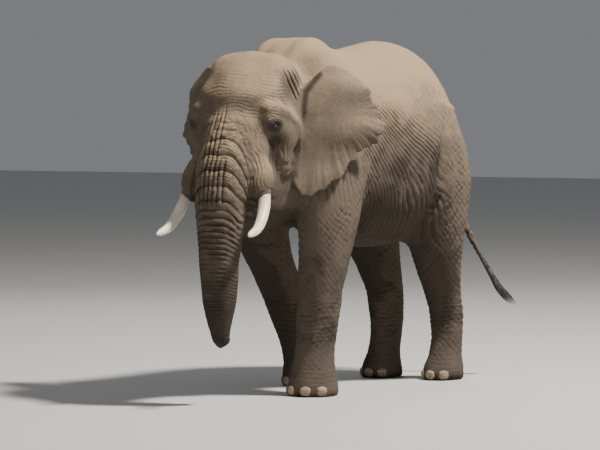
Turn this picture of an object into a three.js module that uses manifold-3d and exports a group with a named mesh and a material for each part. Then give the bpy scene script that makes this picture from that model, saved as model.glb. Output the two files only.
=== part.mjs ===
// A still, life-size African bush elephant bull in mid-walk, head turned a little to its left.
// Millimetres, +Z up. The animal faces -Y, its left side is +X, and its soles stand at Z = 0.
//
// The flesh is one smooth field: lumps (ellipsoids), limbs (stacks of ellipses) and a barrel, joined
// with soft unions. A surface net turns the field into meshes, which thin planar cuts part into head,
// jaw, neck, body and legs. The trunk, tail, tusks and ears are lofted sheets and tubes that meet that
// flesh with a small gap.

import * as THREE from "three";
import { mergeVertices } from "three/addons/utils/BufferGeometryUtils.js";
import Module from "manifold-3d";

const wasm = await Module();
wasm.setup();

// ---------------------------------------------------------------- driving sizes

const GAP = 0.4; // clear space between two pieces that meet
const WELD = 0.02; // corners closer than this become one
const ORIGIN = [-78, -370, 0]; // the point on the ground under the middle of the animal
const HEAD_YAW = 15; // the head's turn to the left, in degrees
const HEAD_PIVOT = [0, -1100]; // the neck's turning centre, in x and y
const EAR_FLARE = 43; // how far each ear stands out from the head's own backward line, in degrees
const EYE_RADIUS = 27;
const EYE_AT = [392, -815, 2500]; // middle of the left eye in the head's own frame

const TUSK_RADIUS = 57;
const TUSK_TAPER = 0.55; // share of its radius that the tusk loses on its way to the tip
const TUSK_END = 0.45; // radius of the blunt tip's last ring, as a share
const TRUNK_END = 0.72; // the same for the trunk

// Sizes of the cells of the surface nets, which set how finely the flesh is faceted
const BODY_CELL = [139, 163, 169];
const HEAD_CELL = [105, 106, 107];
const JAW_CELL = [92, 94, 80];

const NECK_CUT = -200; // head's own y of the cut between head and neck
const MOUTH_LINE = 1790; // height of the cut between head and jaw, and of the trunk's start
const TRUNK_CUTS = [1420, 1020]; // heights of the two cuts through the hanging trunk
const BODY_CUT = { y: -1030, z: 2300, lean: -14 }; // plane between neck and body, its top leaning back
const LEG_CUTS = { fore: [1260, 780, 300], hind: [1230, 680, 290] }; // top of leg, wrist or hock, foot

// The barrel of the body: y, height of back, height of belly, height of the widest place, half width
const BARREL = [
  [-1300, 2860, 1760, 2260, 340],
  [-1050, 3080, 1700, 2180, 470],
  [-760, 3265, 1640, 2110, 570],
  [-430, 3245, 1500, 2030, 650],
  [-110, 3205, 1370, 1960, 705],
  [220, 3255, 1325, 1940, 730],
  [520, 3300, 1330, 1960, 725],
  [820, 3265, 1400, 2010, 680],
  [1080, 3160, 1540, 2080, 590],
  [1330, 2980, 1700, 2150, 440],
];

// Limbs as stacks of ellipses: height, x, y, half width in x, half length in y
const FORELEG_LEFT = [
  [-80, 340, -900, 232, 244],
  [90, 340, -898, 228, 240],
  [260, 342, -890, 192, 204],
  [450, 350, -878, 180, 190],
  [700, 366, -862, 194, 206],
  [1000, 392, -848, 200, 232],
  [1300, 422, -825, 218, 285],
  [1600, 448, -800, 236, 345],
  [1900, 452, -800, 238, 375],
  [2250, 420, -820, 222, 355],
  [2600, 350, -830, 190, 300],
];
const FORELEG_RIGHT = [
  [-80, -300, -150, 232, 244],
  [90, -300, -156, 228, 240],
  [260, -306, -196, 192, 204],
  [450, -320, -270, 180, 190],
  [700, -346, -370, 194, 206],
  [1000, -384, -486, 200, 232],
  [1300, -422, -628, 216, 268],
  [1600, -448, -724, 234, 325],
  [1900, -452, -770, 238, 368],
  [2250, -420, -806, 222, 355],
  [2600, -350, -830, 190, 300],
];
const HINDLEG_LEFT = [
  [-80, 335, 1210, 186, 232],
  [90, 335, 1215, 182, 230],
  [250, 338, 1240, 152, 184],
  [430, 342, 1262, 148, 170],
  [620, 350, 1245, 156, 186],
  [850, 366, 1155, 170, 202],
  [1080, 388, 1055, 200, 248],
  [1300, 408, 985, 232, 312],
  [1600, 418, 955, 264, 392],
  [1900, 408, 965, 280, 428],
  [2250, 365, 955, 255, 375],
  [2600, 290, 950, 190, 290],
];
const HINDLEG_RIGHT = [
  [-80, -300, 1060, 186, 232],
  [90, -300, 1066, 182, 230],
  [250, -304, 1096, 152, 184],
  [430, -310, 1140, 148, 170],
  [620, -322, 1170, 158, 188],
  [850, -344, 1165, 172, 206],
  [1080, -374, 1110, 200, 250],
  [1300, -402, 1040, 232, 315],
  [1600, -416, 990, 264, 395],
  [1900, -408, 985, 280, 430],
  [2250, -365, 955, 255, 375],
  [2600, -290, 950, 190, 290],
];

// The trunk in the head's own frame: y, height, half width, half depth
const TRUNK = [
  [-900, 2420, 235, 190],
  [-1000, 2200, 250, 205],
  [-1070, 2000, 242, 212],
  [-1108, 1828, 232, 212],
  [-1128, 1607, 210, 196],
  [-1138, 1386, 188, 178],
  [-1142, 1165, 170, 162],
  [-1142, 944, 150, 146],
  [-1140, 800, 118, 120],
  [-1132, 690, 92, 96],
  [-1110, 612, 76, 78],
  [-1068, 566, 66, 62],
];

// The tail, from the rump swinging out to the left, and its hair: x, y, z, radius
const TAIL = [
  [0, 1330, 2690, 112],
  [0, 1480, 2590, 104],
  [8, 1600, 2420, 80],
  [50, 1665, 2150, 60],
  [130, 1700, 1820, 46],
  [245, 1735, 1480, 36],
  [390, 1790, 1180, 27],
  [500, 1830, 980, 21],
];
const TAIL_HAIR = [
  [500, 1830, 980, 23],
  [560, 1850, 880, 36],
  [640, 1880, 780, 42],
  [720, 1910, 690, 12],
];

// The ears as sheets: height, front edge, rear edge of the left ear and of the right one, whose torn flap
// hangs lower, all as distances along the ear's own line
const EAR_ROOT = [430, -305]; // where that line starts, in the head's own x and y
const EAR_BED = 150; // how far the sheet runs on inside the head, where it is attached
const EAR_ATTACHED = [2300, 3000]; // heights between which the front edge is attached
const EAR_FOLD = [2600, 3040]; // heights over which the top of the ear leans back
const EAR_LEAN = 130; // how far the folded top ends up behind the sheet
const EAR_SPAN = 800; // length over which the sheet opens out
const EAR_BOW = 60; // how far the middle of the sheet bulges forward
const EAR_RIPPLE = { depth: 22, period: 62 }; // the wavy rear margin
const EAR_THICKNESS = { root: 34, margin: 16 };
const EAR = [
  [3035, 350, 410, 410],
  [2985, 290, 505, 500],
  [2925, 222, 580, 575],
  [2860, 160, 650, 640],
  [2800, 105, 708, 715],
  [2740, 65, 708, 730],
  [2680, 36, 780, 800],
  [2620, 18, 795, 805],
  [2560, 6, 790, 845],
  [2500, -5, 845, 850],
  [2440, -12, 838, 815],
  [2380, -22, 780, 850],
  [2320, -38, 785, 830],
  [2270, -55, 640, 790],
  [2222, -66, 555, 640],
  [2170, -74, 545, 520],
  [2110, -82, 440, 470],
  [2050, -88, 430, 400],
  [1990, -88, 350, 350],
  [1935, -78, 250, 270],
  [1885, -52, 175, 170],
  [1835, -15, 60, 60],
];

// Tusk of the left side in the head's own frame, from inside its sheath to the tip
const TUSK = [
  [240, -880, 2130],
  [322, -950, 1990],
  [380, -1012, 1850],
  [412, -1130, 1690],
  [430, -1290, 1580],
  [440, -1500, 1530],
];

// Toenails: half width, half depth and half height, and their turns about the foot from straight ahead
const NAIL = [54, 26, 46];
const NAIL_TURNS = { fore: [-60, -21, 21, 60], hind: [-42, 0, 42] };
const NAIL_HEIGHT = 58;
const NAIL_SEAT = 0.96; // how far out each nail's middle lies, as a share of the foot's own radius

// ---------------------------------------------------------------- the field

const RAD = Math.PI / 180;
const clamp = (v, lo, hi) => Math.min(Math.max(v, lo), hi);

// Soft union of two distances with blend width k.
function join(a, b, k) {
  const h = Math.max(k - Math.abs(a - b), 0) / k;
  return Math.min(a, b) - (h * h * k) / 4;
}

const carve = (a, b, k) => -join(-a, b, k); // a with b softly taken away

// A smooth curve through rows keyed by row[key]: returns a function that gives all columns.
function along(rows, key) {
  const t = rows.map((r) => r[key]);
  const n = rows.length - 1;
  const slope = (i, c) => {
    const a = Math.max(i - 1, 0);
    const b = Math.min(i + 1, n);
    return (rows[b][c] - rows[a][c]) / (t[b] - t[a]);
  };
  const slopes = rows.map((r, i) => r.map((_, c) => slope(i, c)));
  return (at) => {
    const x = clamp(at, t[0], t[n]);
    let i = 0;
    while (i < n - 1 && x > t[i + 1]) i++;
    const w = t[i + 1] - t[i];
    const s = (x - t[i]) / w;
    const s2 = s * s;
    const s3 = s2 * s;
    return rows[i].map(
      (a, c) =>
        (2 * s3 - 3 * s2 + 1) * a +
        (s3 - 2 * s2 + s) * w * slopes[i][c] +
        (3 * s2 - 2 * s3) * rows[i + 1][c] +
        (s3 - s2) * w * slopes[i + 1][c],
    );
  };
}

// Distance to an ellipse or ellipsoid from scaled offsets.
function roundness(offsets, halves) {
  let k0 = 0;
  let k1 = 0;
  offsets.forEach((o, i) => {
    k0 += (o / halves[i]) ** 2;
    k1 += (o / halves[i] ** 2) ** 2;
  });
  k0 = Math.sqrt(k0);
  k1 = Math.sqrt(k1);
  return k1 < 1e-9 ? -Math.min(...halves) : (k0 * (k0 - 1)) / k1;
}

// A lump: centre, half sizes, and its forward pitch in degrees.
const lump =
  (centre, halves, pitch = 0) =>
  ([x, y, z]) => {
    const c = Math.cos(pitch * RAD);
    const s = Math.sin(pitch * RAD);
    const dy = y - centre[1];
    const dz = z - centre[2];
    return roundness([x - centre[0], c * dy + s * dz, c * dz - s * dy], halves);
  };

// A pair of like lumps on both sides.
const pair = (centre, halves, pitch) => {
  const one = lump(centre, halves, pitch);
  return ([x, y, z]) => one([Math.abs(x), y, z]);
};

function limb(rows) {
  const row = along(rows, 0);
  const top = rows[rows.length - 1][0];
  return ([x, y, z]) => {
    const [, cx, cy, rx, ry] = row(z);
    return Math.max(roundness([x - cx, y - cy], [rx, ry]), z - top, rows[0][0] - z);
  };
}

const barrelRow = along(BARREL, 0);
function barrel([x, y, z]) {
  const [, back, belly, widest, half] = barrelRow(y);
  const rise = z > widest ? back - widest : widest - belly;
  const ends = Math.max(y - BARREL[BARREL.length - 1][0], BARREL[0][0] - y);
  return Math.max(roundness([x, z - widest], [half, rise]), ends);
}

// A curved tube of ellipses in the head's middle plane.
const trunkCurve = new THREE.CatmullRomCurve3(TRUNK.map(([y, z]) => new THREE.Vector3(0, y, z)));
const trunkSizes = along(
  TRUNK.map(([, , width, depth], i) => [i / (TRUNK.length - 1), width, depth]),
  0,
);
const TRUNK_STEPS = 44;
const trunkPoints = Array.from({ length: TRUNK_STEPS + 1 }, (_, i) => {
  const t = i / TRUNK_STEPS;
  const p = trunkCurve.getPoint(t);
  const [, width, depth] = trunkSizes(t);
  return { y: p.y, z: p.z, width, depth };
});
function trunkField([x, y, z]) {
  let best = Infinity;
  for (let i = 0; i < TRUNK_STEPS; i++) {
    const a = trunkPoints[i];
    const b = trunkPoints[i + 1];
    const dy = b.y - a.y;
    const dz = b.z - a.z;
    const t = clamp(((y - a.y) * dy + (z - a.z) * dz) / (dy * dy + dz * dz), 0, 1);
    const off = Math.hypot(y - a.y - t * dy, z - a.z - t * dz);
    const width = a.width + t * (b.width - a.width);
    const depth = a.depth + t * (b.depth - a.depth);
    best = Math.min(best, roundness([x, off], [width, depth]));
  }
  return best;
}

// The head's own frame: x to its left, -y forward, heights as in the body.
const headCos = Math.cos(HEAD_YAW * RAD);
const headSin = Math.sin(HEAD_YAW * RAD);
function toHead([x, y, z]) {
  const dx = x - HEAD_PIVOT[0];
  const dy = y - HEAD_PIVOT[1];
  return [headCos * dx + headSin * dy, headCos * dy - headSin * dx, z];
}
function fromHead([x, y, z]) {
  return [
    HEAD_PIVOT[0] + headCos * x - headSin * y,
    HEAD_PIVOT[1] + headSin * x + headCos * y,
    z,
  ];
}

const TORSO = [
  [pair([195, -780, 3075], [145, 290, 222], 8), 120], // shoulder blades
  [lump([0, 1060, 2330], [430, 430, 620]), 200], // rump
  [pair([270, 1310, 2040], [230, 285, 420]), 160], // buttocks
  [lump([0, -1180, 2330], [345, 420, 560], -12), 260], // base of the neck
  [lump([0, -1150, 1880], [250, 230, 230]), 180], // breast
];
const LIMBS = [FORELEG_LEFT, FORELEG_RIGHT, HINDLEG_LEFT, HINDLEG_RIGHT].map(limb);
const LIMB_BLENDS = [125, 125, 170, 170];

const SKULL = [
  [lump([0, -430, 2775], [350, 370, 385]), 100], // cranium
  [pair([215, -400, 2870], [205, 280, 262]), 90], // two domes of the crown
  [lump([0, -640, 2660], [310, 290, 340], 12), 120], // forehead
  [pair([255, -610, 2690], [170, 230, 200]), 90], // sides of the forehead
  [pair([300, -540, 2430], [160, 330, 240]), 110], // cheek bones
  [pair([325, -740, 2560], [105, 145, 95]), 90], // brows
  [lump([0, -820, 2330], [290, 230, 330]), 120], // face
  [pair([240, -860, 2230], [115, 130, 260], -28), 90], // upper tusk sheaths
  [pair([325, -960, 1990], [112, 120, 200], -22), 80], // lower tusk sheaths
  [pair([190, -740, 2020], [125, 240, 260]), 70], // lips behind the tusks
  [lump([0, -760, 1990], [250, 270, 260]), 80], // palate
  [pair([205, -440, 2070], [160, 280, 330]), 100], // jowls
  [lump([0, -300, 2150], [290, 380, 420]), 160], // throat and nape
];
const HOLLOWS = [
  [pair([465, -520, 2760], [80, 170, 130]), 110], // temples
  [pair([440, -760, 2260], [70, 130, 190]), 100], // below the eyes
];
const JAW = [
  [lump([0, -470, 1810], [290, 300, 205]), 60], // jawbone
  [lump([0, -660, 1760], [185, 180, 140]), 80], // chin
  [lump([0, -755, 1712], [105, 115, 88], 14), 70], // lower lip
  [lump([0, -300, 1850], [270, 300, 260]), 160], // throat
];

const chain = (first, rest, p) => rest.reduce((d, [f, k]) => join(d, f(p), k), first);

function headField(q) {
  let d = chain(SKULL[0][0](q), SKULL.slice(1), q);
  d = join(d, trunkField(q), 90);
  return HOLLOWS.reduce((a, [f, k]) => carve(a, f(q), k), d);
}
const jawField = (q) => chain(JAW[0][0](q), JAW.slice(1), q);

function bodyField(p) {
  let d = chain(barrel(p), TORSO, p);
  LIMBS.forEach((leg, i) => (d = join(d, leg(p), LIMB_BLENDS[i])));
  return d;
}

const NECK_BLEND = 260;
function fleshField(p) {
  const q = toHead(p);
  const head = headField(q);
  const jaw = jawField(q);
  return join(bodyField(p), join(head, jaw, 30), NECK_BLEND);
}

// ---------------------------------------------------------------- meshes

const vec = (p) => new THREE.Vector3(...p);

// A mesh from its corner points and quads, as triangles across each quad's shorter diagonal.
function quadMesh(points, quads) {
  const index = [];
  const span = (a, b) => Math.hypot(...points[a].map((v, i) => v - points[b][i]));
  for (const [a, b, c, d] of quads) {
    if (span(a, c) <= span(b, d)) index.push(a, b, c, a, c, d);
    else index.push(a, b, d, b, c, d);
  }
  const geometry = new THREE.BufferGeometry();
  geometry.setAttribute("position", new THREE.Float32BufferAttribute(points.flat(), 3));
  geometry.setIndex(index);
  return geometry;
}

// Moves a point onto the field's surface, at most reach away.
function settle(field, p, reach) {
  const EPS = 2;
  let q = p;
  for (let pass = 0; pass < 4; pass++) {
    const d = field(q);
    const g = [0, 1, 2].map((i) => {
      const a = [...q];
      a[i] += EPS;
      return (field(a) - d) / EPS;
    });
    const size = g[0] ** 2 + g[1] ** 2 + g[2] ** 2;
    if (size < 1e-6) break;
    q = q.map((v, i) => v - (g[i] * d) / size);
  }
  return Math.hypot(...q.map((v, i) => v - p[i])) < reach ? q : p;
}

// A surface net: one point for each grid cell that the surface crosses, one quad for each crossed grid edge.
function surfaceNet(field, low, high, step) {
  const count = low.map((v, i) => Math.round((high[i] - v) / step[i]) + 1);
  const at = (i, j, k) => (k * count[1] + j) * count[0] + i;
  const place = (i, j, k) => [i, j, k].map((v, a) => low[a] + v * step[a]);
  const value = new Float32Array(count[0] * count[1] * count[2]);
  const edge = (v, a) => v === 0 || v === count[a] - 1;
  for (let k = 0; k < count[2]; k++)
    for (let j = 0; j < count[1]; j++)
      for (let i = 0; i < count[0]; i++) {
        const d = field(place(i, j, k));
        value[at(i, j, k)] = edge(i, 0) || edge(j, 1) || edge(k, 2) ? Math.max(d, 1) : d;
      }
  const points = [];
  const cell = new Int32Array(value.length).fill(-1);
  const corners = [0, 1, 2, 3, 4, 5, 6, 7].map((c) => [c & 1, (c >> 1) & 1, (c >> 2) & 1]);
  for (let k = 0; k < count[2] - 1; k++)
    for (let j = 0; j < count[1] - 1; j++)
      for (let i = 0; i < count[0] - 1; i++) {
        const d = corners.map(([a, b, c]) => value[at(i + a, j + b, k + c)]);
        if (d.every((v) => v < 0) || d.every((v) => v >= 0)) continue;
        const sum = [0, 0, 0];
        let crossings = 0;
        for (let a = 0; a < 8; a++)
          for (const bit of [1, 2, 4]) {
            const b = a | bit;
            if (b === a || d[a] < 0 === d[b] < 0) continue;
            const t = d[a] / (d[a] - d[b]);
            corners[a].forEach((v, n) => (sum[n] += v + t * (corners[b][n] - v)));
            crossings++;
          }
        const start = place(i, j, k);
        const p = sum.map((v, n) => start[n] + (v / crossings) * step[n]);
        const wall = [i, j, k].some((v, n) => v === 0 || v === count[n] - 2);
        cell[at(i, j, k)] = points.length;
        points.push(wall ? p : settle(field, p, Math.min(...step) * 0.6));
      }
  const quads = [];
  const axes = [
    [1, 0, 0],
    [0, 1, 0],
    [0, 0, 1],
  ];
  for (let k = 0; k < count[2] - 1; k++)
    for (let j = 0; j < count[1] - 1; j++)
      for (let i = 0; i < count[0] - 1; i++)
        axes.forEach((axis, n) => {
          const here = value[at(i, j, k)] < 0;
          const next = value[at(i + axis[0], j + axis[1], k + axis[2])] < 0;
          if (here === next) return;
          const u = axes[(n + 1) % 3];
          const v = axes[(n + 2) % 3];
          const around = [
            [0, 0],
            [1, 0],
            [1, 1],
            [0, 1],
          ].map(([a, b]) => cell[at(...[i, j, k].map((c, m) => c - a * u[m] - b * v[m]))]);
          quads.push(here ? around : around.reverse());
        });
  return quadMesh(points, quads);
}

// A closed tube through rings of points.
function ringTube(rings) {
  const sides = rings[0].length;
  const points = rings.flat();
  const quads = [];
  for (let r = 0; r < rings.length - 1; r++)
    for (let s = 0; s < sides; s++) {
      const t = (s + 1) % sides;
      quads.push([r * sides + s, r * sides + t, (r + 1) * sides + t, (r + 1) * sides + s]);
    }
  const geometry = quadMesh(points, quads);
  const index = Array.from(geometry.index.array);
  const middle = (ring) => [0, 1, 2].map((i) => ring.reduce((a, p) => a + p[i], 0) / sides);
  const all = [...points, middle(rings[0]), middle(rings[rings.length - 1])];
  const last = (rings.length - 1) * sides;
  for (let s = 0; s < sides; s++) {
    const t = (s + 1) % sides;
    index.push(t, s, all.length - 2, last + s, last + t, all.length - 1);
  }
  geometry.setAttribute("position", new THREE.Float32BufferAttribute(all.flat(), 3));
  geometry.setIndex(index);
  return geometry;
}

// Rings along a curve, with half sizes from size(t) across and along the bend plane.
function tubeRings(curve, size, from, to, rings, sides, side = new THREE.Vector3(1, 0, 0)) {
  return Array.from({ length: rings }, (_, r) => {
    const t = from + ((to - from) * r) / (rings - 1);
    const centre = curve.getPoint(t);
    const ahead = curve.getTangent(t);
    const across = side.clone().addScaledVector(ahead, -side.dot(ahead)).normalize();
    const up = ahead.clone().cross(across);
    const [a, b] = size(t);
    return Array.from({ length: sides }, (__, s) => {
      const turn = (2 * Math.PI * s) / sides;
      return centre
        .clone()
        .addScaledVector(across, a * Math.cos(turn))
        .addScaledVector(up, b * Math.sin(turn))
        .toArray();
    });
  });
}

// ---------------------------------------------------------------- solids

function solid(geometry) {
  const g = new THREE.BufferGeometry();
  g.setAttribute("position", geometry.getAttribute("position"));
  if (geometry.index) g.setIndex(geometry.index);
  const merged = mergeVertices(g, 1e-3);
  return new wasm.Manifold(
    new wasm.Mesh({
      numProp: 3,
      vertProperties: new Float32Array(merged.attributes.position.array),
      triVerts: new Uint32Array(merged.index.array),
    }),
  );
}

// A block centred at a point, turned about X and then about Z.
function block(centre, size, pitch = 0, yaw = 0) {
  const g = new THREE.BoxGeometry(...size);
  g.applyMatrix4(new THREE.Matrix4().makeRotationX(pitch * RAD));
  g.applyMatrix4(new THREE.Matrix4().makeRotationZ(yaw * RAD));
  g.translate(...centre);
  return solid(g);
}

const WIDE = 5000;
// Everything in front of (sign -1) or behind (sign 1) an upright plane through a point.
function halfSpace(point, sign, pitch, yaw) {
  const away = vec([0, sign * (WIDE / 2 + GAP / 2), 0])
    .applyAxisAngle(vec([1, 0, 0]), pitch * RAD)
    .applyAxisAngle(vec([0, 0, 1]), yaw * RAD);
  const centre = away.add(vec(point)).toArray();
  return block(centre, [WIDE, WIDE, WIDE], pitch, yaw);
}

const largest = (manifold) =>
  manifold.decompose().reduce((a, b) => (b.volume() > a.volume() ? b : a));

const neckPoint = fromHead([0, NECK_CUT, 2400]);
const bodyPoint = [0, BODY_CUT.y, BODY_CUT.z];

// Turns a mesh that was made in the head's own frame into its place on the body.
function placeHead(mesh) {
  mesh.applyMatrix4(new THREE.Matrix4().makeRotationZ(HEAD_YAW * RAD));
  mesh.translate(HEAD_PIVOT[0], HEAD_PIVOT[1], 0);
  return mesh;
}

// What lies above or below a level, and in front of the neck's cut.
const above = (level) => block([0, 0, level + WIDE / 2], [WIDE, WIDE, WIDE]);
const below = (level) => block([0, 0, level - WIDE / 2], [WIDE, WIDE, WIDE]);
const beforeNeck = (piece) => piece.intersect(halfSpace(neckPoint, -1, 0, HEAD_YAW));

function makeHead() {
  const field = (q) => fleshField(fromHead(q));
  const net = placeHead(surfaceNet(field, [-630, -1330, 1670], [630, -80, 3250], HEAD_CELL));
  return largest(beforeNeck(solid(net).intersect(above(MOUTH_LINE + GAP / 2))));
}

function makeJaw() {
  const field = (q) => join(jawField(q), bodyField(fromHead(q)), NECK_BLEND);
  const net = placeHead(surfaceNet(field, [-360, -1000, 1500], [360, -60, 1900], JAW_CELL));
  return largest(beforeNeck(solid(net).intersect(below(MOUTH_LINE - GAP / 2))));
}

// Body, neck and legs, cut from one net.
function makeBody() {
  const net = surfaceNet(fleshField, [-1010, -1663, -76], [980, 1990, 3475], BODY_CELL);
  const behindHead = solid(net).intersect(above(0)).intersect(halfSpace(neckPoint, 1, 0, HEAD_YAW));
  const neck = behindHead.intersect(halfSpace(bodyPoint, -1, BODY_CUT.lean, 0));
  const rest = behindHead.intersect(halfSpace(bodyPoint, 1, BODY_CUT.lean, 0));
  return { neck: largest(neck), rest };
}

const LEGS = [
  { name: "foreleg_left", rows: FORELEG_LEFT, kind: "fore" },
  { name: "foreleg_right", rows: FORELEG_RIGHT, kind: "fore" },
  { name: "hindleg_left", rows: HINDLEG_LEFT, kind: "hind" },
  { name: "hindleg_right", rows: HINDLEG_RIGHT, kind: "hind" },
];
const LEG_PARTS = ["upper", "lower", "foot"];

const LEG_REACH = 700; // half size of the block that takes one leg's piece out of the flesh
const MIDLINE_GAP = 8; // how far that block stays from the middle of the animal
const LEG_BAYS = { fore: -600, hind: 1100 }; // middles, in y, of the bays under the body where the legs end
const BAY_LENGTH = 1700;

// Parts the legs from the body and each leg into upper, lower and foot.
function partLegs(rest) {
  const pieces = {};
  for (const { name, rows, kind } of LEGS) {
    const row = along(rows, 0);
    const side = Math.sign(rows[0][1]);
    const bounds = [...LEG_CUTS[kind], 0];
    LEG_PARTS.forEach((part, i) => {
      const high = bounds[i] - GAP / 2;
      const low = bounds[i + 1] + (bounds[i + 1] ? GAP / 2 : 0);
      const middle = [side * (LEG_REACH + MIDLINE_GAP), row((high + low) / 2)[2], (high + low) / 2];
      const cutter = block(middle, [2 * LEG_REACH, 2 * LEG_REACH, high - low]);
      pieces[`${name}_${part}`] = largest(rest.intersect(cutter));
    });
  }
  const bays = Object.entries(LEG_BAYS).map(([kind, y]) => {
    const top = LEG_CUTS[kind][0] + GAP / 2;
    return block([0, y, top - WIDE / 2], [WIDE, BAY_LENGTH, WIDE]);
  });
  pieces.body = largest(bays.reduce((body, bay) => body.subtract(bay), rest));
  return pieces;
}

// ---------------------------------------------------------------- trunk, tusks, tail, ears, eyes, nails

// The last ring of a tube's blunt end.
const endRing = (curve, size, share, sides) =>
  tubeRings(curve, (t) => size(t).map((v) => v * share), 0.999, 1, 2, sides)[0];

const TRUNK_SIDES = 14;
const TRUNK_RINGS = [6, 6, 8];
const TRUNK_OVERRUN = 0.01; // how far each length's tube runs past its cuts, as a share of the trunk
const trunkShare = (height) => {
  let t = 0;
  while (trunkCurve.getPoint(t).z > height) t += 0.0005;
  return t;
};

function makeTrunk() {
  const size = (t) => trunkSizes(t).slice(1);
  const tops = [MOUTH_LINE, ...TRUNK_CUTS];
  const made = {};
  ["trunk_upper", "trunk_middle", "trunk_lower"].forEach((name, i) => {
    const last = i === tops.length - 1;
    const from = trunkShare(tops[i]) - TRUNK_OVERRUN;
    const to = last ? 0.985 : trunkShare(tops[i + 1]) + TRUNK_OVERRUN;
    const rings = tubeRings(trunkCurve, size, from, to, TRUNK_RINGS[i], TRUNK_SIDES);
    if (last) rings.push(endRing(trunkCurve, size, TRUNK_END, TRUNK_SIDES));
    const piece = solid(placeHead(ringTube(rings))).intersect(below(tops[i] - GAP / 2));
    made[name] = largest(last ? piece : piece.intersect(above(tops[i + 1] + GAP / 2)));
  });
  return made;
}

const SIDES = { left: 1, right: -1 };
const TUSK_SIDES = 10;
const TUSK_RINGS = 9;
const START = 0.002; // where a piece that is set into another begins, just past its socket's end

function makeTusk(side, grow) {
  const points = TUSK.map(([x, y, z]) => vec(fromHead([side * x, y, z])));
  const curve = new THREE.CatmullRomCurve3(points);
  const size = (t) => {
    const r = TUSK_RADIUS * (1 - TUSK_TAPER * t ** 3) + grow;
    return [r, r];
  };
  const rings = tubeRings(curve, size, 0, 0.985, TUSK_RINGS, TUSK_SIDES);
  if (!grow) rings[0] = tubeRings(curve, size, START, 1, 2, TUSK_SIDES)[0];
  rings.push(endRing(curve, size, TUSK_END, TUSK_SIDES));
  return solid(ringTube(rings));
}

const TAIL_SIDES = 8;
const TAIL_RINGS = 13;
const TUFT_RINGS = 8;
const TAIL_WIDTH = 0.8; // the tail is narrower from side to side than from front to back

function makeTail(rows, grow, rings) {
  const curve = new THREE.CatmullRomCurve3(rows.map(([x, y, z]) => vec([x, y, z])));
  const radius = along(
    rows.map((r, i) => [i / (rows.length - 1), r[3]]),
    0,
  );
  const size = (t) => {
    const r = radius(t)[1] + grow;
    return [r * TAIL_WIDTH, r];
  };
  const tube = tubeRings(curve, size, 0, 1, rings, TAIL_SIDES);
  if (!grow) tube[0] = tubeRings(curve, size, START, 1, 2, TAIL_SIDES)[0];
  return solid(ringTube(tube));
}

// The ear's own directions in the head's frame: along the sheet, and out of its front face.
const EAR_COLUMNS = 4;
const earLine = [Math.sin(EAR_FLARE * RAD), Math.cos(EAR_FLARE * RAD)];
const earOut = [Math.cos(EAR_FLARE * RAD), -Math.sin(EAR_FLARE * RAD)];
const earRow = along([...EAR].reverse(), 0);

// A point of the ear, off its middle surface by a distance, as a share of the way to its rear edge.
function earPoint(height, share, off, side, grow) {
  const [, front, ...rears] = earRow(height);
  const rear = side > 0 ? rears[0] : rears[1];
  const attached = height > EAR_ATTACHED[0] && height < EAR_ATTACHED[1];
  const fold = clamp((height - EAR_FOLD[0]) / (EAR_FOLD[1] - EAR_FOLD[0]), 0, 1);
  const from = front - (attached ? EAR_BED * (1 - 0.75 * fold) : 0) - grow;
  const s = from + share * (rear + grow - from);
  const open = clamp(s / EAR_SPAN, 0, 1);
  const bow =
    EAR_BOW * Math.sin(Math.PI * open) -
    EAR_LEAN * fold ** 1.5 +
    EAR_RIPPLE.depth * open * Math.sin(height / EAR_RIPPLE.period);
  return fromHead([
    side * (EAR_ROOT[0] + s * earLine[0] + (bow + off) * earOut[0]),
    EAR_ROOT[1] + s * earLine[1] + (bow + off) * earOut[1],
    height,
  ]);
}

function makeEar(side, grow) {
  const { root: thick, margin: thin } = EAR_THICKNESS;
  const shares = Array.from({ length: EAR_COLUMNS + 1 }, (_, i) => i / EAR_COLUMNS);
  const rings = EAR.map(([height]) => {
    const face = (share, sign) => {
      const half = (thick + share * (thin - thick) + 3 * grow) / 2;
      return earPoint(height, share, sign * half, side, grow);
    };
    const ring = [...shares.map((u) => face(u, 1)), ...shares.toReversed().map((u) => face(u, -1))];
    return side > 0 ? ring.reverse() : ring;
  });
  return solid(ringTube(rings));
}

function makeEye(side, grow) {
  const g = new THREE.IcosahedronGeometry(EYE_RADIUS + grow, 1);
  g.translate(...fromHead([side * EYE_AT[0], EYE_AT[1], EYE_AT[2]]));
  return solid(g);
}

// The toenails of one leg, as flattened balls set half into the front of the foot.
function makeNails(rows, turns, grow) {
  const [, x, y, rx, ry] = along(rows, 0)(NAIL_HEIGHT);
  return turns.map((turn) => {
    const g = new THREE.SphereGeometry(1, 8, 4);
    g.rotateX(90 * RAD);
    g.scale(NAIL[0] + grow, NAIL[1] + grow, NAIL[2] + grow);
    const a = turn * RAD;
    g.rotateZ(Math.atan2(Math.sin(a) / rx, Math.cos(a) / ry));
    g.translate(x + rx * NAIL_SEAT * Math.sin(a), y - ry * NAIL_SEAT * Math.cos(a), NAIL_HEIGHT);
    return solid(g);
  });
}

// ---------------------------------------------------------------- assembly

const root = new THREE.Group();
const material = (color, roughness) => new THREE.MeshStandardMaterial({ color, roughness, metalness: 0 });
const hide = material(0x85786a, 0.9);
const ivory = material(0xe8dcc8, 0.45);
const eyeDark = material(0x2a1d14, 0.2);
const horn = material(0xb5a890, 0.6);
const hair = material(0x2b2d33, 0.7);

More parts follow.
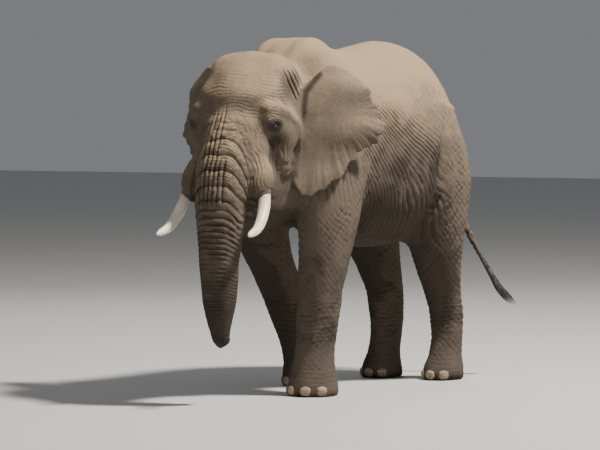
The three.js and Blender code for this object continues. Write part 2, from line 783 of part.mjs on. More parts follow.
function show(name, manifold, look) {
  const { numProp, vertProperties, triVerts, numVert } = manifold.getMesh();
  const xyz = new Float32Array(numVert * 3);
  for (let i = 0; i < numVert; i++) xyz.set(vertProperties.subarray(i * numProp, i * numProp + 3), i * 3);
  const raw = new THREE.BufferGeometry();
  raw.setAttribute("position", new THREE.BufferAttribute(xyz, 3));
  raw.setIndex(new THREE.BufferAttribute(triVerts, 1));
  raw.translate(-ORIGIN[0], -ORIGIN[1], -ORIGIN[2]);
  const g = mergeVertices(raw, WELD);
  const all = g.index.array;
  const kept = [];
  for (let i = 0; i < all.length; i += 3) {
    const [a, b, c] = all.slice(i, i + 3);
    if (a !== b && b !== c && c !== a) kept.push(a, b, c);
  }
  g.setIndex(kept);
  const mesh = new THREE.Mesh(g, look);
  mesh.name = name;
  root.add(mesh);
}

const { neck, rest } = makeBody();
const pieces = partLegs(rest);
pieces.neck = neck;
pieces.head = makeHead();
pieces.jaw = makeJaw();
Object.assign(pieces, makeTrunk());
pieces.body = largest(pieces.body.subtract(makeTail(TAIL, GAP, TAIL_RINGS)));
for (const side of [1, -1]) {
  pieces.head = largest(pieces.head.subtract(makeTusk(side, GAP)));
  pieces.head = largest(pieces.head.subtract(makeEye(side, GAP)));
  pieces.head = largest(pieces.head.subtract(makeEar(side, GAP)));
  pieces.neck = largest(pieces.neck.subtract(makeEar(side, GAP)));
}
for (const { name, rows, kind } of LEGS) {
  const foot = `${name}_foot`;
  const cutters = makeNails(rows, NAIL_TURNS[kind], GAP);
  cutters.forEach((cutter) => (pieces[foot] = largest(pieces[foot].subtract(cutter))));
  makeNails(rows, NAIL_TURNS[kind], 0).forEach((nail, i) => show(`${name}_nail_${i + 1}`, nail, horn));
}
for (const [name, piece] of Object.entries(pieces)) show(name, piece, hide);
show("tail", makeTail(TAIL, 0, TAIL_RINGS), hide);
const tuft = makeTail(TAIL_HAIR, 0, TUFT_RINGS).subtract(makeTail(TAIL, GAP, TAIL_RINGS));
show("tail_tuft", largest(tuft), hair);
for (const [name, side] of Object.entries(SIDES)) {
  show(`tusk_${name}`, makeTusk(side, 0), ivory);
  show(`ear_${name}`, makeEar(side, 0), hide);
  show(`eye_${name}`, makeEye(side, 0), eyeDark);
}

export default root;
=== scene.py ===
"""A life-size African bush elephant: wrinkled hide, lids, ivory, toenails and tail tuft.

The hide is one closed skin over all nodes of flesh. It starts as copies of those nodes, which are
joined and remeshed. Its points then settle on the animal's own smooth shape, which repeats the named
sizes of the solids, and the folds are pressed in. Lengths are in metres, and in the tables of sizes
in millimetres. The body faces -Y, and its left side is at +X.
"""

import itertools
import math

import bmesh
import bpy
import numpy as np
from mathutils import Matrix, Vector


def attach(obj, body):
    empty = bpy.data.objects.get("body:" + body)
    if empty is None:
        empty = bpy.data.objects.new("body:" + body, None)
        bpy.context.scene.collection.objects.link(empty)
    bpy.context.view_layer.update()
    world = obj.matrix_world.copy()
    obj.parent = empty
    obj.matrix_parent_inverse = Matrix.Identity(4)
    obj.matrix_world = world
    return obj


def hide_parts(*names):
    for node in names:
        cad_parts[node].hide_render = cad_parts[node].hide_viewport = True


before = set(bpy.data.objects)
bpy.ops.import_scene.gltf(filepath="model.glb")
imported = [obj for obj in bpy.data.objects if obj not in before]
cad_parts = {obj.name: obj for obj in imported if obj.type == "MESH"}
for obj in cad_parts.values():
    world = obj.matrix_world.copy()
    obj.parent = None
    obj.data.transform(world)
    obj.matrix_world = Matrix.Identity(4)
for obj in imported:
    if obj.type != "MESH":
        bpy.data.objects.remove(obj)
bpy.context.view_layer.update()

bl_info = {
    "name": "Bush elephant",
    "version": (1, 0, 0),
    "blender": (4, 5, 0),
    "location": "View3D > Sidebar > Elephant",
    "description": "A life-size bush elephant with a folded hide, ivory, toenails and tail tuft",
    "category": "Object",
}

# ---------------------------------------------------------------- the animal's sizes


def metres(rows):
    """Rows given in millimetres, as metres."""
    return np.array(rows, float) / 1000.0


ORIGIN = metres([-78, -370, 0])  # the frame's origin, in the animal's own frame
HEAD_YAW = math.radians(15)
HEAD_PIVOT = metres([0, -1100])
NECK_BLEND = 0.26

# Barrel: place along the body, heights of the back, the belly and the widest part, half width
BARREL = metres([
    [-1300, 2860, 1760, 2260, 340],
    [-1050, 3080, 1700, 2180, 470],
    [-760, 3265, 1640, 2110, 570],
    [-430, 3245, 1500, 2030, 650],
    [-110, 3205, 1370, 1960, 705],
    [220, 3255, 1325, 1940, 730],
    [520, 3300, 1330, 1960, 725],
    [820, 3265, 1400, 2010, 680],
    [1080, 3160, 1540, 2080, 590],
    [1330, 2980, 1700, 2150, 440],
])

# Legs: height, middle across and along the body, half width, half depth
FORELEG_LEFT = metres([
    [-80, 340, -900, 232, 244],
    [90, 340, -898, 228, 240],
    [260, 342, -890, 192, 204],
    [450, 350, -878, 180, 190],
    [700, 366, -862, 194, 206],
    [1000, 392, -848, 200, 232],
    [1300, 422, -825, 218, 285],
    [1600, 448, -800, 236, 345],
    [1900, 452, -800, 238, 375],
    [2250, 420, -820, 222, 355],
    [2600, 350, -830, 190, 300],
])
FORELEG_RIGHT = metres([
    [-80, -300, -150, 232, 244],
    [90, -300, -156, 228, 240],
    [260, -306, -196, 192, 204],
    [450, -320, -270, 180, 190],
    [700, -346, -370, 194, 206],
    [1000, -384, -486, 200, 232],
    [1300, -422, -628, 216, 268],
    [1600, -448, -724, 234, 325],
    [1900, -452, -770, 238, 368],
    [2250, -420, -806, 222, 355],
    [2600, -350, -830, 190, 300],
])
HINDLEG_LEFT = metres([
    [-80, 335, 1210, 186, 232],
    [90, 335, 1215, 182, 230],
    [250, 338, 1240, 152, 184],
    [430, 342, 1262, 148, 170],
    [620, 350, 1245, 156, 186],
    [850, 366, 1155, 170, 202],
    [1080, 388, 1055, 200, 248],
    [1300, 408, 985, 232, 312],
    [1600, 418, 955, 264, 392],
    [1900, 408, 965, 280, 428],
    [2250, 365, 955, 255, 375],
    [2600, 290, 950, 190, 290],
])
HINDLEG_RIGHT = metres([
    [-80, -300, 1060, 186, 232],
    [90, -300, 1066, 182, 230],
    [250, -304, 1096, 152, 184],
    [430, -310, 1140, 148, 170],
    [620, -322, 1170, 158, 188],
    [850, -344, 1165, 172, 206],
    [1080, -374, 1110, 200, 250],
    [1300, -402, 1040, 232, 315],
    [1600, -416, 990, 264, 395],
    [1900, -408, 985, 280, 430],
    [2250, -365, 955, 255, 375],
    [2600, -290, 950, 190, 290],
])
# Each leg's rows, and how softly it joins the body
LEGS = {
    "foreleg_left": (FORELEG_LEFT, 0.125),
    "foreleg_right": (FORELEG_RIGHT, 0.125),
    "hindleg_left": (HINDLEG_LEFT, 0.17),
    "hindleg_right": (HINDLEG_RIGHT, 0.17),
}

# Trunk, in the head's own frame: place along, height, half width, half depth
TRUNK = metres([
    [-900, 2420, 235, 190],
    [-1000, 2200, 250, 205],
    [-1070, 2000, 242, 212],
    [-1108, 1828, 232, 212],
    [-1128, 1607, 210, 196],
    [-1138, 1386, 188, 178],
    [-1142, 1165, 170, 162],
    [-1142, 944, 150, 146],
    [-1140, 800, 118, 120],
    [-1132, 690, 92, 96],
    [-1110, 612, 76, 78],
    [-1068, 566, 66, 62],
])

# Tail and its tuft: across, along, height, radius
TAIL = metres([
    [0, 1330, 2690, 112],
    [0, 1480, 2590, 104],
    [8, 1600, 2420, 80],
    [50, 1665, 2150, 60],
    [130, 1700, 1820, 46],
    [245, 1735, 1480, 36],
    [390, 1790, 1180, 27],
    [500, 1830, 980, 21],
])
TAIL_HAIR = metres([
    [500, 1830, 980, 23],
    [560, 1850, 880, 36],
    [640, 1880, 780, 42],
    [720, 1910, 690, 12],
])

EAR_FLARE = math.radians(43)  # how far the ear's sheet stands off the side of the head
EAR_ROOT = metres([430, -305])  # where the sheet starts, across and along
EAR_BED = 0.15  # how far the sheet runs on into the head
EAR_ATTACHED = 2.30  # the ear hangs free below this height
EAR_FOLD = (2.60, 3.04)  # heights between which the ear's top leans over
EAR_LEAN = 0.13  # how far its top leans in
EAR_BOW = 0.06  # how far the sheet bows out between the head and the rear edge
EAR_THICKNESS = 0.032  # at the head
EAR_THINNING = 0.020  # lost by the rear edge
EAR_SCALLOP = math.radians(9.5)  # angle from one scallop of the margin to the next
EAR_NOTCH = 0.052  # depth of the margin's notches, as a share of the ear's reach
EAR_RIPPLE = 0.013  # how far the ripples lift the sheet
EAR_LOBE = 0.055  # how far the hanging lobe stands out
EAR_SPAN = 0.80  # how far along the sheet its bow reaches
EAR_MIDDLE = (0.25, 2.65)  # along the ear and above the ground, where its ripples spread from
# Ear: height, front edge, rear edge of the left ear and of the right one, along the sheet
EAR = metres([
    [3035, 350, 410, 410],
    [2985, 290, 505, 500],
    [2925, 222, 580, 575],
    [2860, 160, 650, 640],
    [2800, 105, 708, 715],
    [2740, 65, 708, 730],
    [2680, 36, 780, 800],
    [2620, 18, 795, 805],
    [2560, 6, 790, 845],
    [2500, -5, 845, 850],
    [2440, -12, 838, 815],
    [2380, -22, 780, 850],
    [2320, -38, 785, 830],
    [2270, -55, 640, 790],
    [2222, -66, 555, 640],
    [2170, -74, 545, 520],
    [2110, -82, 440, 470],
    [2050, -88, 430, 400],
    [1990, -88, 350, 350],
    [1935, -78, 250, 270],
    [1885, -52, 175, 170],
    [1835, -15, 60, 60],
])

# Left tusk, in the head's own frame: across, along, height
TUSK = metres([
    [240, -880, 2130],
    [322, -950, 1990],
    [380, -1012, 1850],
    [412, -1130, 1690],
    [430, -1290, 1580],
    [440, -1500, 1530],
])
TUSK_RADIUS = 0.057
TUSK_TAPER = 0.55  # share of its radius that a tusk loses by its tip
TUSK_POINT = 0.10  # share of the tusk over which its tip rounds off
TUSK_LIP = 0.40  # share of the tusk at which it leaves the flesh

# Left eye and left temple, in the head's own frame
EYE_AT = metres([392, -815, 2500])
TEMPLE = metres([410, -420, 2760])
EYE_RADIUS = 0.028
CORNEA = 0.55  # half width of the eye's clear bulge, as a share of its radius
CORNEA_RISE = 0.0022
EYE_SLIT = (0.036, 0.0205)  # half length and half height of the opening between the lids
LID_THICKNESS = 0.0065
LID_SLANT = 0.14  # how steeply the opening rises towards the back
LID_ARCH = 3.0  # how much both its ends hang

NAIL = metres([54, 26, 46])  # half width, half thickness, half height
NAIL_TURNS = {"fore": [-60, -21, 21, 60], "hind": [-42, 0, 42]}  # degrees round the foot
NAIL_HEIGHT = 0.058  # of a nail's middle
NAIL_SEAT = 0.96  # share of the foot's radius at which a nail sits

# Each mass of the body: centre, half sizes, pitch in degrees, whether it is a pair, blend
TORSO = [
    ((195, -780, 3075), (145, 290, 222), 8, True, 120),
    ((0, -800, 3050), (120, 300, 205), 8, False, 140),
    ((0, 1060, 2330), (430, 430, 620), 0, False, 200),
    ((270, 1310, 2040), (230, 285, 420), 0, True, 160),
    ((0, -1180, 2330), (345, 420, 560), -12, False, 260),
    ((0, -1150, 1880), (250, 230, 230), 0, False, 180),
]
SKULL = [
    ((0, -430, 2775), (350, 370, 385), 0, False, 100),
    ((215, -400, 2870), (205, 280, 262), 0, True, 90),
    ((0, -640, 2660), (310, 290, 340), 12, False, 120),
    ((255, -610, 2690), (170, 230, 200), 0, True, 90),
    ((300, -540, 2430), (160, 330, 240), 0, True, 110),
    ((325, -740, 2560), (105, 145, 95), 0, True, 90),
    ((0, -820, 2330), (290, 230, 330), 0, False, 120),
    ((240, -860, 2230), (115, 130, 260), -28, True, 90),
    ((325, -960, 1990), (112, 120, 200), -22, True, 80),
    ((190, -740, 2020), (125, 240, 260), 0, True, 70),
    ((0, -760, 1990), (250, 270, 260), 0, False, 80),
    ((205, -440, 2070), (160, 280, 330), 0, True, 100),
    ((0, -300, 2150), (290, 380, 420), 0, False, 160),
]
HOLLOWS = [
    ((465, -520, 2760), (80, 170, 130), 0, True, 110),
    ((440, -760, 2260), (70, 130, 190), 0, True, 100),
]
JAW = [
    ((0, -470, 1810), (290, 300, 205), 0, False, 60),
    ((0, -660, 1760), (185, 180, 140), 0, False, 80),
    ((0, -755, 1712), (105, 115, 88), 14, False, 70),
    ((0, -300, 1850), (270, 300, 260), 0, False, 160),
]

BROW = [
    ((0, -745, 2700), (240, 175, 86), 0, False, 150),
    ((372, -800, 2500), (50, 80, 76), 0, True, 50),
    ((392, -590, 2450), (60, 150, 120), 0, True, 90),
    ((372, -530, 2250), (62, 110, 220), 0, True, 70),
]
# The arch of bone over and behind the eye
ORBIT = [[345, -835, 2645], [400, -745, 2630], [438, -640, 2600], [450, -530, 2550], [440, -445, 2480]]
ORBIT_RADIUS = 0.036
# Grooves of the face: points, radius, blend
BEHIND_SHEATH = [[408, -860, 2420], [400, -780, 2310], [400, -760, 2190], [402, -800, 2040]]
BEHIND_SHEATH += [[385, -890, 1870]]
VALLEYS = [
    (BEHIND_SHEATH, 0.042, 0.07),
    ([[300, -1080, 2090], [268, -1150, 1960], [245, -1170, 1850], [225, -1150, 1740]], 0.020, 0.05),
    ([[470, -400, 2300], [475, -400, 2180], [455, -430, 2060]], 0.060, 0.10),
]
# The crease where the ear leaves the head, from its top down
EAR_CREASE = [[545, -130, 2955], [495, -215, 2855], [460, -264, 2780], [450, -290, 2650]]
EAR_CREASE += [[438, -290, 2510], [440, -292, 2370], [456, -310, 2230], [465, -330, 2130]]
EAR_CREASE_DEPTHS = [0, 10, 16, 18, 17, 13, 7, 0]
# The crease before the thigh, from its top down
THIGH_CREASE = metres(
    [[690, 760, 2420], [725, 730, 2250], [735, 670, 2050], [690, 610, 1800], [560, 520, 1560]]
)
THIGH_CREASE_RADII = metres([0, 50, 65, 55, 0])

FLESH = ["body", "neck", "head", "jaw", "trunk_upper", "trunk_middle", "trunk_lower"]
FLESH += ["ear_left", "ear_right", "tail"]
FLESH += [f"{leg}_{part}" for leg in LEGS for part in ("upper", "lower", "foot")]

# ---------------------------------------------------------------- smooth shape


class Table:
    """Smooth curves through rows, keyed by their first column."""

    def __init__(self, rows):
        rows = rows[np.argsort(rows[:, 0])]
        self.key, self.value = rows[:, 0], rows[:, 1:]
        count = len(rows)
        before = np.maximum(np.arange(count) - 1, 0)
        after = np.minimum(np.arange(count) + 1, count - 1)
        run = (self.key[after] - self.key[before])[:, None]
        self.slope = (self.value[after] - self.value[before]) / run

    def __call__(self, at):
        x = np.clip(at, self.key[0], self.key[-1])
        i = np.clip(np.searchsorted(self.key, x, side="right") - 1, 0, len(self.key) - 2)
        width = self.key[i + 1] - self.key[i]
        s = (x - self.key[i]) / width
        s2, s3 = s * s, s * s * s
        parts = (2 * s3 - 3 * s2 + 1, (s3 - 2 * s2 + s) * width, 3 * s2 - 2 * s3, (s3 - s2) * width)
        columns = []
        for c in range(self.value.shape[1]):
            v, m = self.value[:, c], self.slope[:, c]
            columns.append(parts[0] * v[i] + parts[1] * m[i] + parts[2] * v[i + 1] + parts[3] * m[i + 1])
        return columns


def by_share(rows):
    """The same rows keyed by their share of the way along."""
    return Table(np.column_stack([np.linspace(0, 1, len(rows)), rows]))


def soft_join(a, b, k):
    """The union of two distances, rounded within k of where they meet."""
    h = np.maximum(k - np.abs(a - b), 0) / k
    return np.minimum(a, b) - h * h * k / 4


def soft_cut(a, b, k):
    """The first shape less the second, rounded in the same way."""
    return -soft_join(-a, b, k)


def ramp(x, start, end):
    """A smooth step from 0 at start to 1 at end."""
    t = np.clip((x - start) / (end - start), 0, 1)
    return t * t * (3 - 2 * t)


def roundness(offsets, halves):
    """About the distance to the ellipse or ellipsoid with those half sizes."""
    k0 = np.sqrt(sum((o / h) ** 2 for o, h in zip(offsets, halves)))
    k1 = np.sqrt(sum((o / h**2) ** 2 for o, h in zip(offsets, halves)))
    return k0 * (k0 - 1) / np.maximum(k1, 1e-6)


def lump(p, centre, halves, pitch=0.0, paired=False):
    """Distance to an ellipsoid that is pitched forward, with its mirror image where it is paired."""
    x = np.abs(p[:, 0]) if paired else p[:, 0]
    c, s = math.cos(math.radians(pitch)), math.sin(math.radians(pitch))
    dy, dz = p[:, 1] - centre[1], p[:, 2] - centre[2]
    return roundness((x - centre[0], c * dy + s * dz, c * dz - s * dy), halves)


def masses(p, rows, start=None):
    """Soft union of lumps, onto start where that is given."""
    d = start
    for centre, halves, pitch, paired, blend in rows:
        one = lump(p, metres(centre), metres(halves), pitch, paired)
        d = one if d is None else soft_join(d, one, blend / 1000)
    return d


COS, SIN = math.cos(HEAD_YAW), math.sin(HEAD_YAW)


def to_head(p):
    """Points of the body's frame in the head's own frame."""
    dx, dy = p[:, 0] - HEAD_PIVOT[0], p[:, 1] - HEAD_PIVOT[1]
    return np.column_stack([COS * dx + SIN * dy, COS * dy - SIN * dx, p[:, 2]])


def on_left(p):
    """Points with those of the right side moved to their mirror images."""
    return np.column_stack([np.abs(p[:, 0]), p[:, 1], p[:, 2]])


def from_head(q):
    """Points of the head's own frame in the body's frame."""
    q = np.atleast_2d(q)
    x = HEAD_PIVOT[0] + COS * q[:, 0] - SIN * q[:, 1]
    y = HEAD_PIVOT[1] + SIN * q[:, 0] + COS * q[:, 1]
    return np.column_stack([x, y, q[:, 2]])


def placed(q, sign):
    """Points of the head's left side, or their mirror images for sign -1, in the part's frame."""
    return from_head(q * np.array([sign, 1, 1])) - ORIGIN


barrel_sizes = Table(BARREL)
leg_sizes = {name: Table(rows) for name, (rows, _) in LEGS.items()}
ear_edges = Table(EAR)
trunk_line = by_share(TRUNK)
tail_line = by_share(TAIL)
tusk_line = by_share(TUSK)
trunk_points = np.column_stack(trunk_line(np.linspace(0, 1, 45)))
TAIL_POINTS = np.column_stack(tail_line(np.linspace(0, 1, 22))[:3])
TAIL_RADII = tail_line(np.linspace(0, 1, 22))[3]


def barrel(p):
    """The body between the shoulders and the hips."""
    back, belly, widest, half = barrel_sizes(p[:, 1])
    above = p[:, 2] > widest
    rise = np.where(above, back - widest, widest - belly)
    side = roundness((p[:, 0], p[:, 2] - widest), (half, rise))
    ends = np.maximum(p[:, 1] - BARREL[-1, 0], BARREL[0, 0] - p[:, 1])
    return -soft_join(-side, -ends, 0.34)


def leg(p, name):
    """One leg, from below the ground up into the body."""
    rows = LEGS[name][0]
    x, y, rx, ry = leg_sizes[name](p[:, 2])
    side = roundness((p[:, 0] - x, p[:, 1] - y), (rx, ry))
    return np.maximum(side, p[:, 2] - rows[-1, 0])


def polyline(p, points, radii):
    """Distance to a tube through points, as (off the line, radius there, share along)."""
    best = np.full(len(p), 1e9)
    size = np.zeros(len(p))
    share = np.zeros(len(p))
    count = len(points) - 1
    for i in range(count):
        ab = points[i + 1] - points[i]
        t = np.clip((p - points[i]) @ ab / (ab @ ab), 0, 1)
        off = np.linalg.norm(p - points[i] - t[:, None] * ab, axis=1)
        near = off < best
        best = np.where(near, off, best)
        size = np.where(near, radii[i] + t * (radii[i + 1] - radii[i]), size)
        share = np.where(near, (i + t) / count, share)
    return best, size, share


def trunk(q):
    """The trunk, whose sections are wider or deeper ellipses across its line."""
    d = np.full(len(q), 1.0)
    near = (np.abs(q[:, 0]) < 0.45) & (q[:, 1] < -0.5) & (q[:, 2] < 2.75)
    p = q[near]
    flat = trunk_points[:, :2]
    best = np.full(len(p), 1e9)
    for i in range(len(flat) - 1):
        ab = flat[i + 1] - flat[i]
        t = np.clip(((p[:, 1:] - flat[i]) @ ab) / (ab @ ab), 0, 1)
        off = np.linalg.norm(p[:, 1:] - flat[i] - t[:, None] * ab, axis=1)
        near_size, far_size = trunk_points[i, 2:], trunk_points[i + 1, 2:]
        width, depth = (near_size[c] + t * (far_size[c] - near_size[c]) for c in (0, 1))
        best = np.minimum(best, roundness((p[:, 0], off), (width, depth)))
    d[near] = best
    return d


EAR_ALONG = (math.sin(EAR_FLARE), math.cos(EAR_FLARE))
EAR_OUT = (math.cos(EAR_FLARE), -math.sin(EAR_FLARE))


def ear_place(q):
    """Where points lie on the ear's sheet: along it, off it, and how far it has opened."""
    side = np.where(q[:, 0] > 0, 1, -1)
    x, y = np.abs(q[:, 0]) - EAR_ROOT[0], q[:, 1] - EAR_ROOT[1]
    along = x * EAR_ALONG[0] + y * EAR_ALONG[1]
    off = x * EAR_OUT[0] + y * EAR_OUT[1]
    return side, along, off, np.clip(along / EAR_SPAN, 0, 1)


def ear_rays(along, height):
    """Place round the ear's middle: the scallop there, its phase, and how near the margin it lies."""
    a, h = along - EAR_MIDDLE[0], height - EAR_MIDDLE[1]
    turn = np.arctan2(h, a)
    radius = np.hypot(a, h)
    phase = turn / EAR_SCALLOP + 0.35 * np.sin(turn * 3.1 + 1.0)
    scalloped = ramp(turn, -2.0, -1.75) * ramp(turn, 0.75, 0.35)
    return phase, scalloped, ramp(radius, 0.26, 0.66)


def folded_over(height):
    """How far up the part of the ear that leans over, from 0 to 1."""
    return np.clip((height - EAR_FOLD[0]) / (EAR_FOLD[1] - EAR_FOLD[0]), 0, 1)


def ear_relief(along, height):
    """How far ripples and the hanging lobe lift the ear's sheet off its plain bow."""
    phase, scalloped, outer = ear_rays(along, height)
    tooth = np.abs(2 * (phase - np.floor(phase)) - 1) ** 1.3
    uneven = 0.62 + 0.30 * np.sin(2 * np.pi * phase * 0.23 + 0.7) + 0.45 * ramp(phase, -4.5, -6.5)
    ripple = (0.5 - tooth) * uneven + 0.5 * np.sin(2 * np.pi * phase * 0.37 + 1.3)
    lift = EAR_RIPPLE * outer * (1 - 0.7 * folded_over(height)) * scalloped * ripple
    above_lobe = 0.012 * ramp(height, 2.40, 2.24) * ramp(along, 0.1, 0.3)
    lobe = EAR_LOBE * ramp(height, 2.18, 1.88) - above_lobe
    return lift + lobe, tooth * uneven


def ear(q):
    """Both ears, and how far points are up the part that leans over."""
    side, along, off, opened = ear_place(q)
    height = q[:, 2]
    _, scalloped, _ = ear_rays(along, height)
    relief, tooth = ear_relief(along, height)
    notch = 1 + EAR_NOTCH * scalloped * tooth
    far = EAR_MIDDLE[0] + (along - EAR_MIDDLE[0]) * notch
    low = EAR_MIDDLE[1] + (height - EAR_MIDDLE[1]) * notch
    front, left, right = ear_edges(low)
    rear = np.where(side > 0, left, right)
    fold = folded_over(height)
    attached = ramp(height, EAR_ATTACHED - 0.05, EAR_ATTACHED + 0.05)
    start = front - attached * EAR_BED * (1 - 0.75 * fold)
    waves = 0.022 * opened * np.sin(height / 0.062)
    bow = EAR_BOW * np.sin(np.pi * opened) - EAR_LEAN * fold**1.5 + waves + relief
    share = np.clip((along - start) / np.maximum(rear - start, 0.05), 0, 1)
    half = (EAR_THICKNESS - EAR_THINNING * share) / 2
    across = np.abs(off - bow) - half
    edges = np.maximum(far - rear, start - along)
    ends = np.maximum(edges, np.maximum(height - EAR[0, 0], EAR[-1, 0] - low))
    return -soft_join(-across, -ends, 0.008), fold


trunk_end = np.array([0, TRUNK[-1, 0], TRUNK[-1, 1]])
TIP_AHEAD = np.array([0, 0.674, -0.738])  # where the trunk's end points
TIP_FRONT = np.array([0, -0.738, -0.674])  # towards the trunk's outer side there


def trunk_tip(q, d):
    """Cuts the trunk's end flat, and gives it two fingers and two nostrils."""
    near = np.linalg.norm(q - trunk_end, axis=1) < 0.25
    p = q[near] - trunk_end
    ahead, front, x = p @ TIP_AHEAD, p @ TIP_FRONT, p[:, 0]
    t = -soft_join(-d[near], -(ahead - 0.006), 0.02)
    for lean, reach in ((0.044, 0.036), (-0.046, 0.026)):
        finger = roundness((x, front - lean, ahead - 0.4 * reach), (0.026, 0.017, reach))
        t = soft_join(t, finger, 0.03)
    bore = roundness((np.abs(x) - 0.022, front, ahead - 0.01), (0.016, 0.023, 0.05))
    d = d.copy()
    d[near] = soft_cut(t, bore, 0.012)
    return d


def head_without_ears(q):
    """Skull and trunk, less the hollows of temples and cheeks."""
    d = masses(q, SKULL)
    d = soft_join(d, trunk(q), 0.09)
    for centre, halves, pitch, paired, blend in HOLLOWS:
        d = soft_cut(d, lump(q, metres(centre), metres(halves), pitch, paired), blend / 1000)
    return d


def groove_tube(p, points, radius):
    """Signed distance to a tube through points that thins out at both its ends."""
    off, _, share = polyline(p, metres(points), np.full(len(points), radius))
    return off - radius * np.sqrt(np.clip(np.minimum(share, 1 - share) * 5, 0, 1))


def face(q):
    """The head with its brow, the valleys behind and before the tusks' sheaths, and the temples."""
    d = head_without_ears(q)
    near = (q[:, 1] < -0.2) & (q[:, 2] > 1.6)
    p, t = q[near], d[near]
    mirrored = on_left(p)
    t = masses(p, BROW, t)
    off, _, _ = polyline(mirrored, metres(ORBIT), np.zeros(len(ORBIT)))
    t = soft_join(t, off - ORBIT_RADIUS, 0.07)
    for points, radius, blend in VALLEYS:
        t = soft_cut(t, groove_tube(mirrored, points, radius), blend)
    d[near] = t
    return d


def unit(vector):
    """The vector at length 1."""
    return vector / np.linalg.norm(vector)


# The left eye's own directions: out of the face, up, and back along the lids
EYE_OUT = unit(np.array([0.80, -0.58, -0.10]))
EYE_UP = unit(np.array([0.0, 0.0, 1.0]) - EYE_OUT * EYE_OUT[2])
EYE_BACK = np.cross(EYE_UP, EYE_OUT)


def by_eye(q):
    """Offsets from the nearer eye: back along the lids, up, and out of the face."""
    p = on_left(q) - EYE_AT
    return p @ EYE_BACK, p @ EYE_UP, p @ EYE_OUT


def lid_rim(back, up):
    """How far points lie from the almond between the lids, 1 on its edge."""
    slant = up - LID_SLANT * back + 0.001
    return np.hypot(back / EYE_SLIT[0], (slant + LID_ARCH * back**2) / EYE_SLIT[1])


def lids(q, d):
    """Lids that close round the eyeball, with an almond opening between them."""
    back, up, out = by_eye(q)
    near = np.sqrt(back**2 + up**2 + out**2) < 0.16
    b, u, o, t = back[near], up[near], out[near], d[near]
    from_eye = np.sqrt(b**2 + u**2 + o**2)
    t = soft_join(t, from_eye - (EYE_RADIUS + LID_THICKNESS), 0.016)
    dome = np.sqrt((b / 1.15) ** 2 + (u - 0.022) ** 2 + (o + 0.006) ** 2) - 0.043
    t = soft_join(t, dome, 0.014)
    bag = np.sqrt((b / 1.6) ** 2 + (u + 0.029) ** 2 + (o - 0.012) ** 2) - 0.014
    t = soft_join(t, bag, 0.014)
    # the skin between the lids lies just under the eyeball
    opening = np.maximum((lid_rim(b, u) - 1) * 0.019, EYE_RADIUS - 0.0025 - from_eye)
    opening = np.maximum(opening, -0.004 - o)
    d = d.copy()
    d[near] = soft_cut(t, opening, 0.004)
    return d


def lower_lids(p):
    """Drops the points round the eyes straight onto the hide, so that the lids' walls stay clean."""
    q = to_head(p)
    back, up, out = by_eye(q)
    near = (np.hypot(back, up) < 0.10) & (np.abs(out) < 0.09)
    sides = np.where(q[near, 0] > 0, 1.0, -1.0)[:, None] * (1, 0, 0) + (0, 1, 1)
    flat = EYE_AT + back[near, None] * EYE_BACK + up[near, None] * EYE_UP
    heights = np.linspace(0.075, -0.045, 61)
    found = np.full(near.sum(), np.nan)
    before = None
    for height in heights:
        probe = (flat + height * EYE_OUT) * sides
        d = flesh(from_head(probe), True)
        if before is not None:
            hit = np.isnan(found) & (d <= 0) & (before > 0)
            share = before[hit] / np.maximum(before[hit] - d[hit], 1e-6)
            found[hit] = height + (heights[0] - heights[1]) * (1 - share)
        before = d
    fine = ~np.isnan(found)
    places = from_head((flat + found[:, None] * EYE_OUT) * sides)
    index = np.nonzero(near)[0][fine]
    p[index] = places[fine]
    return p


def tusk_radii(radius, shares):
    """The radius of a tusk at shares of its length, before its tip is rounded."""
    return radius * (1 - TUSK_TAPER * shares**3)


def tusk_tube(q):
    """How far points are from the nearer tusk's line, its radius there and the share along it."""
    shares = np.linspace(0, 1, 17)
    points = np.column_stack(tusk_line(shares))
    return polyline(on_left(q), points, tusk_radii(TUSK_RADIUS, shares))


def tusk_lips(q, d):
    """A rounded lip round each tusk, and a narrow dark gap inside it."""
    near = (q[:, 1] < -0.8) & (q[:, 2] > 1.6) & (q[:, 2] < 2.1) & (np.abs(q[:, 0]) > 0.2)
    off, radius, share = tusk_tube(q[near])
    gap = np.maximum(off - radius - 0.007, 0.26 - share)
    d = d.copy()
    d[near] = soft_cut(d[near], gap, 0.022)
    return d


def flesh(p, fine=False):
    """Signed distance to the animal's hide, in its own frame."""
    q = to_head(p)
    d = masses(p, TORSO, barrel(p))
    for name, (_, blend) in LEGS.items():
        d = soft_join(d, leg(p, name), blend)
    front = q[:, 1] < 0.45
    qf = q[front]
    head = face(qf)
    if fine:
        head = trunk_tip(qf, head)
    head = soft_join(head, masses(qf, JAW), 0.03)
    d[front] = soft_join(d[front], head, NECK_BLEND)
    if fine:
        d[front] = lids(qf, d[front])
        d[front] = tusk_lips(qf, d[front])
    flap, fold = ear(qf)
    d[front] = soft_join(d[front], flap, 0.045 + 0.07 * fold)
    back = p[:, 1] > 1.2
    off, radius, _ = polyline(p[back], TAIL_POINTS, TAIL_RADII)
    d[back] = soft_join(d[back], off - 0.9 * radius, 0.06)
    thigh = (np.abs(p[:, 0]) > 0.25) & (p[:, 1] > 0.2) & (p[:, 2] < 2.6) & (p[:, 2] > 1.2)
    off, radius, _ = polyline(on_left(p[thigh]), THIGH_CREASE, THIGH_CREASE_RADII)
    d[thigh] = soft_cut(d[thigh], off - radius, 0.12)
    return soft_cut(d, p[:, 2], 0.03)



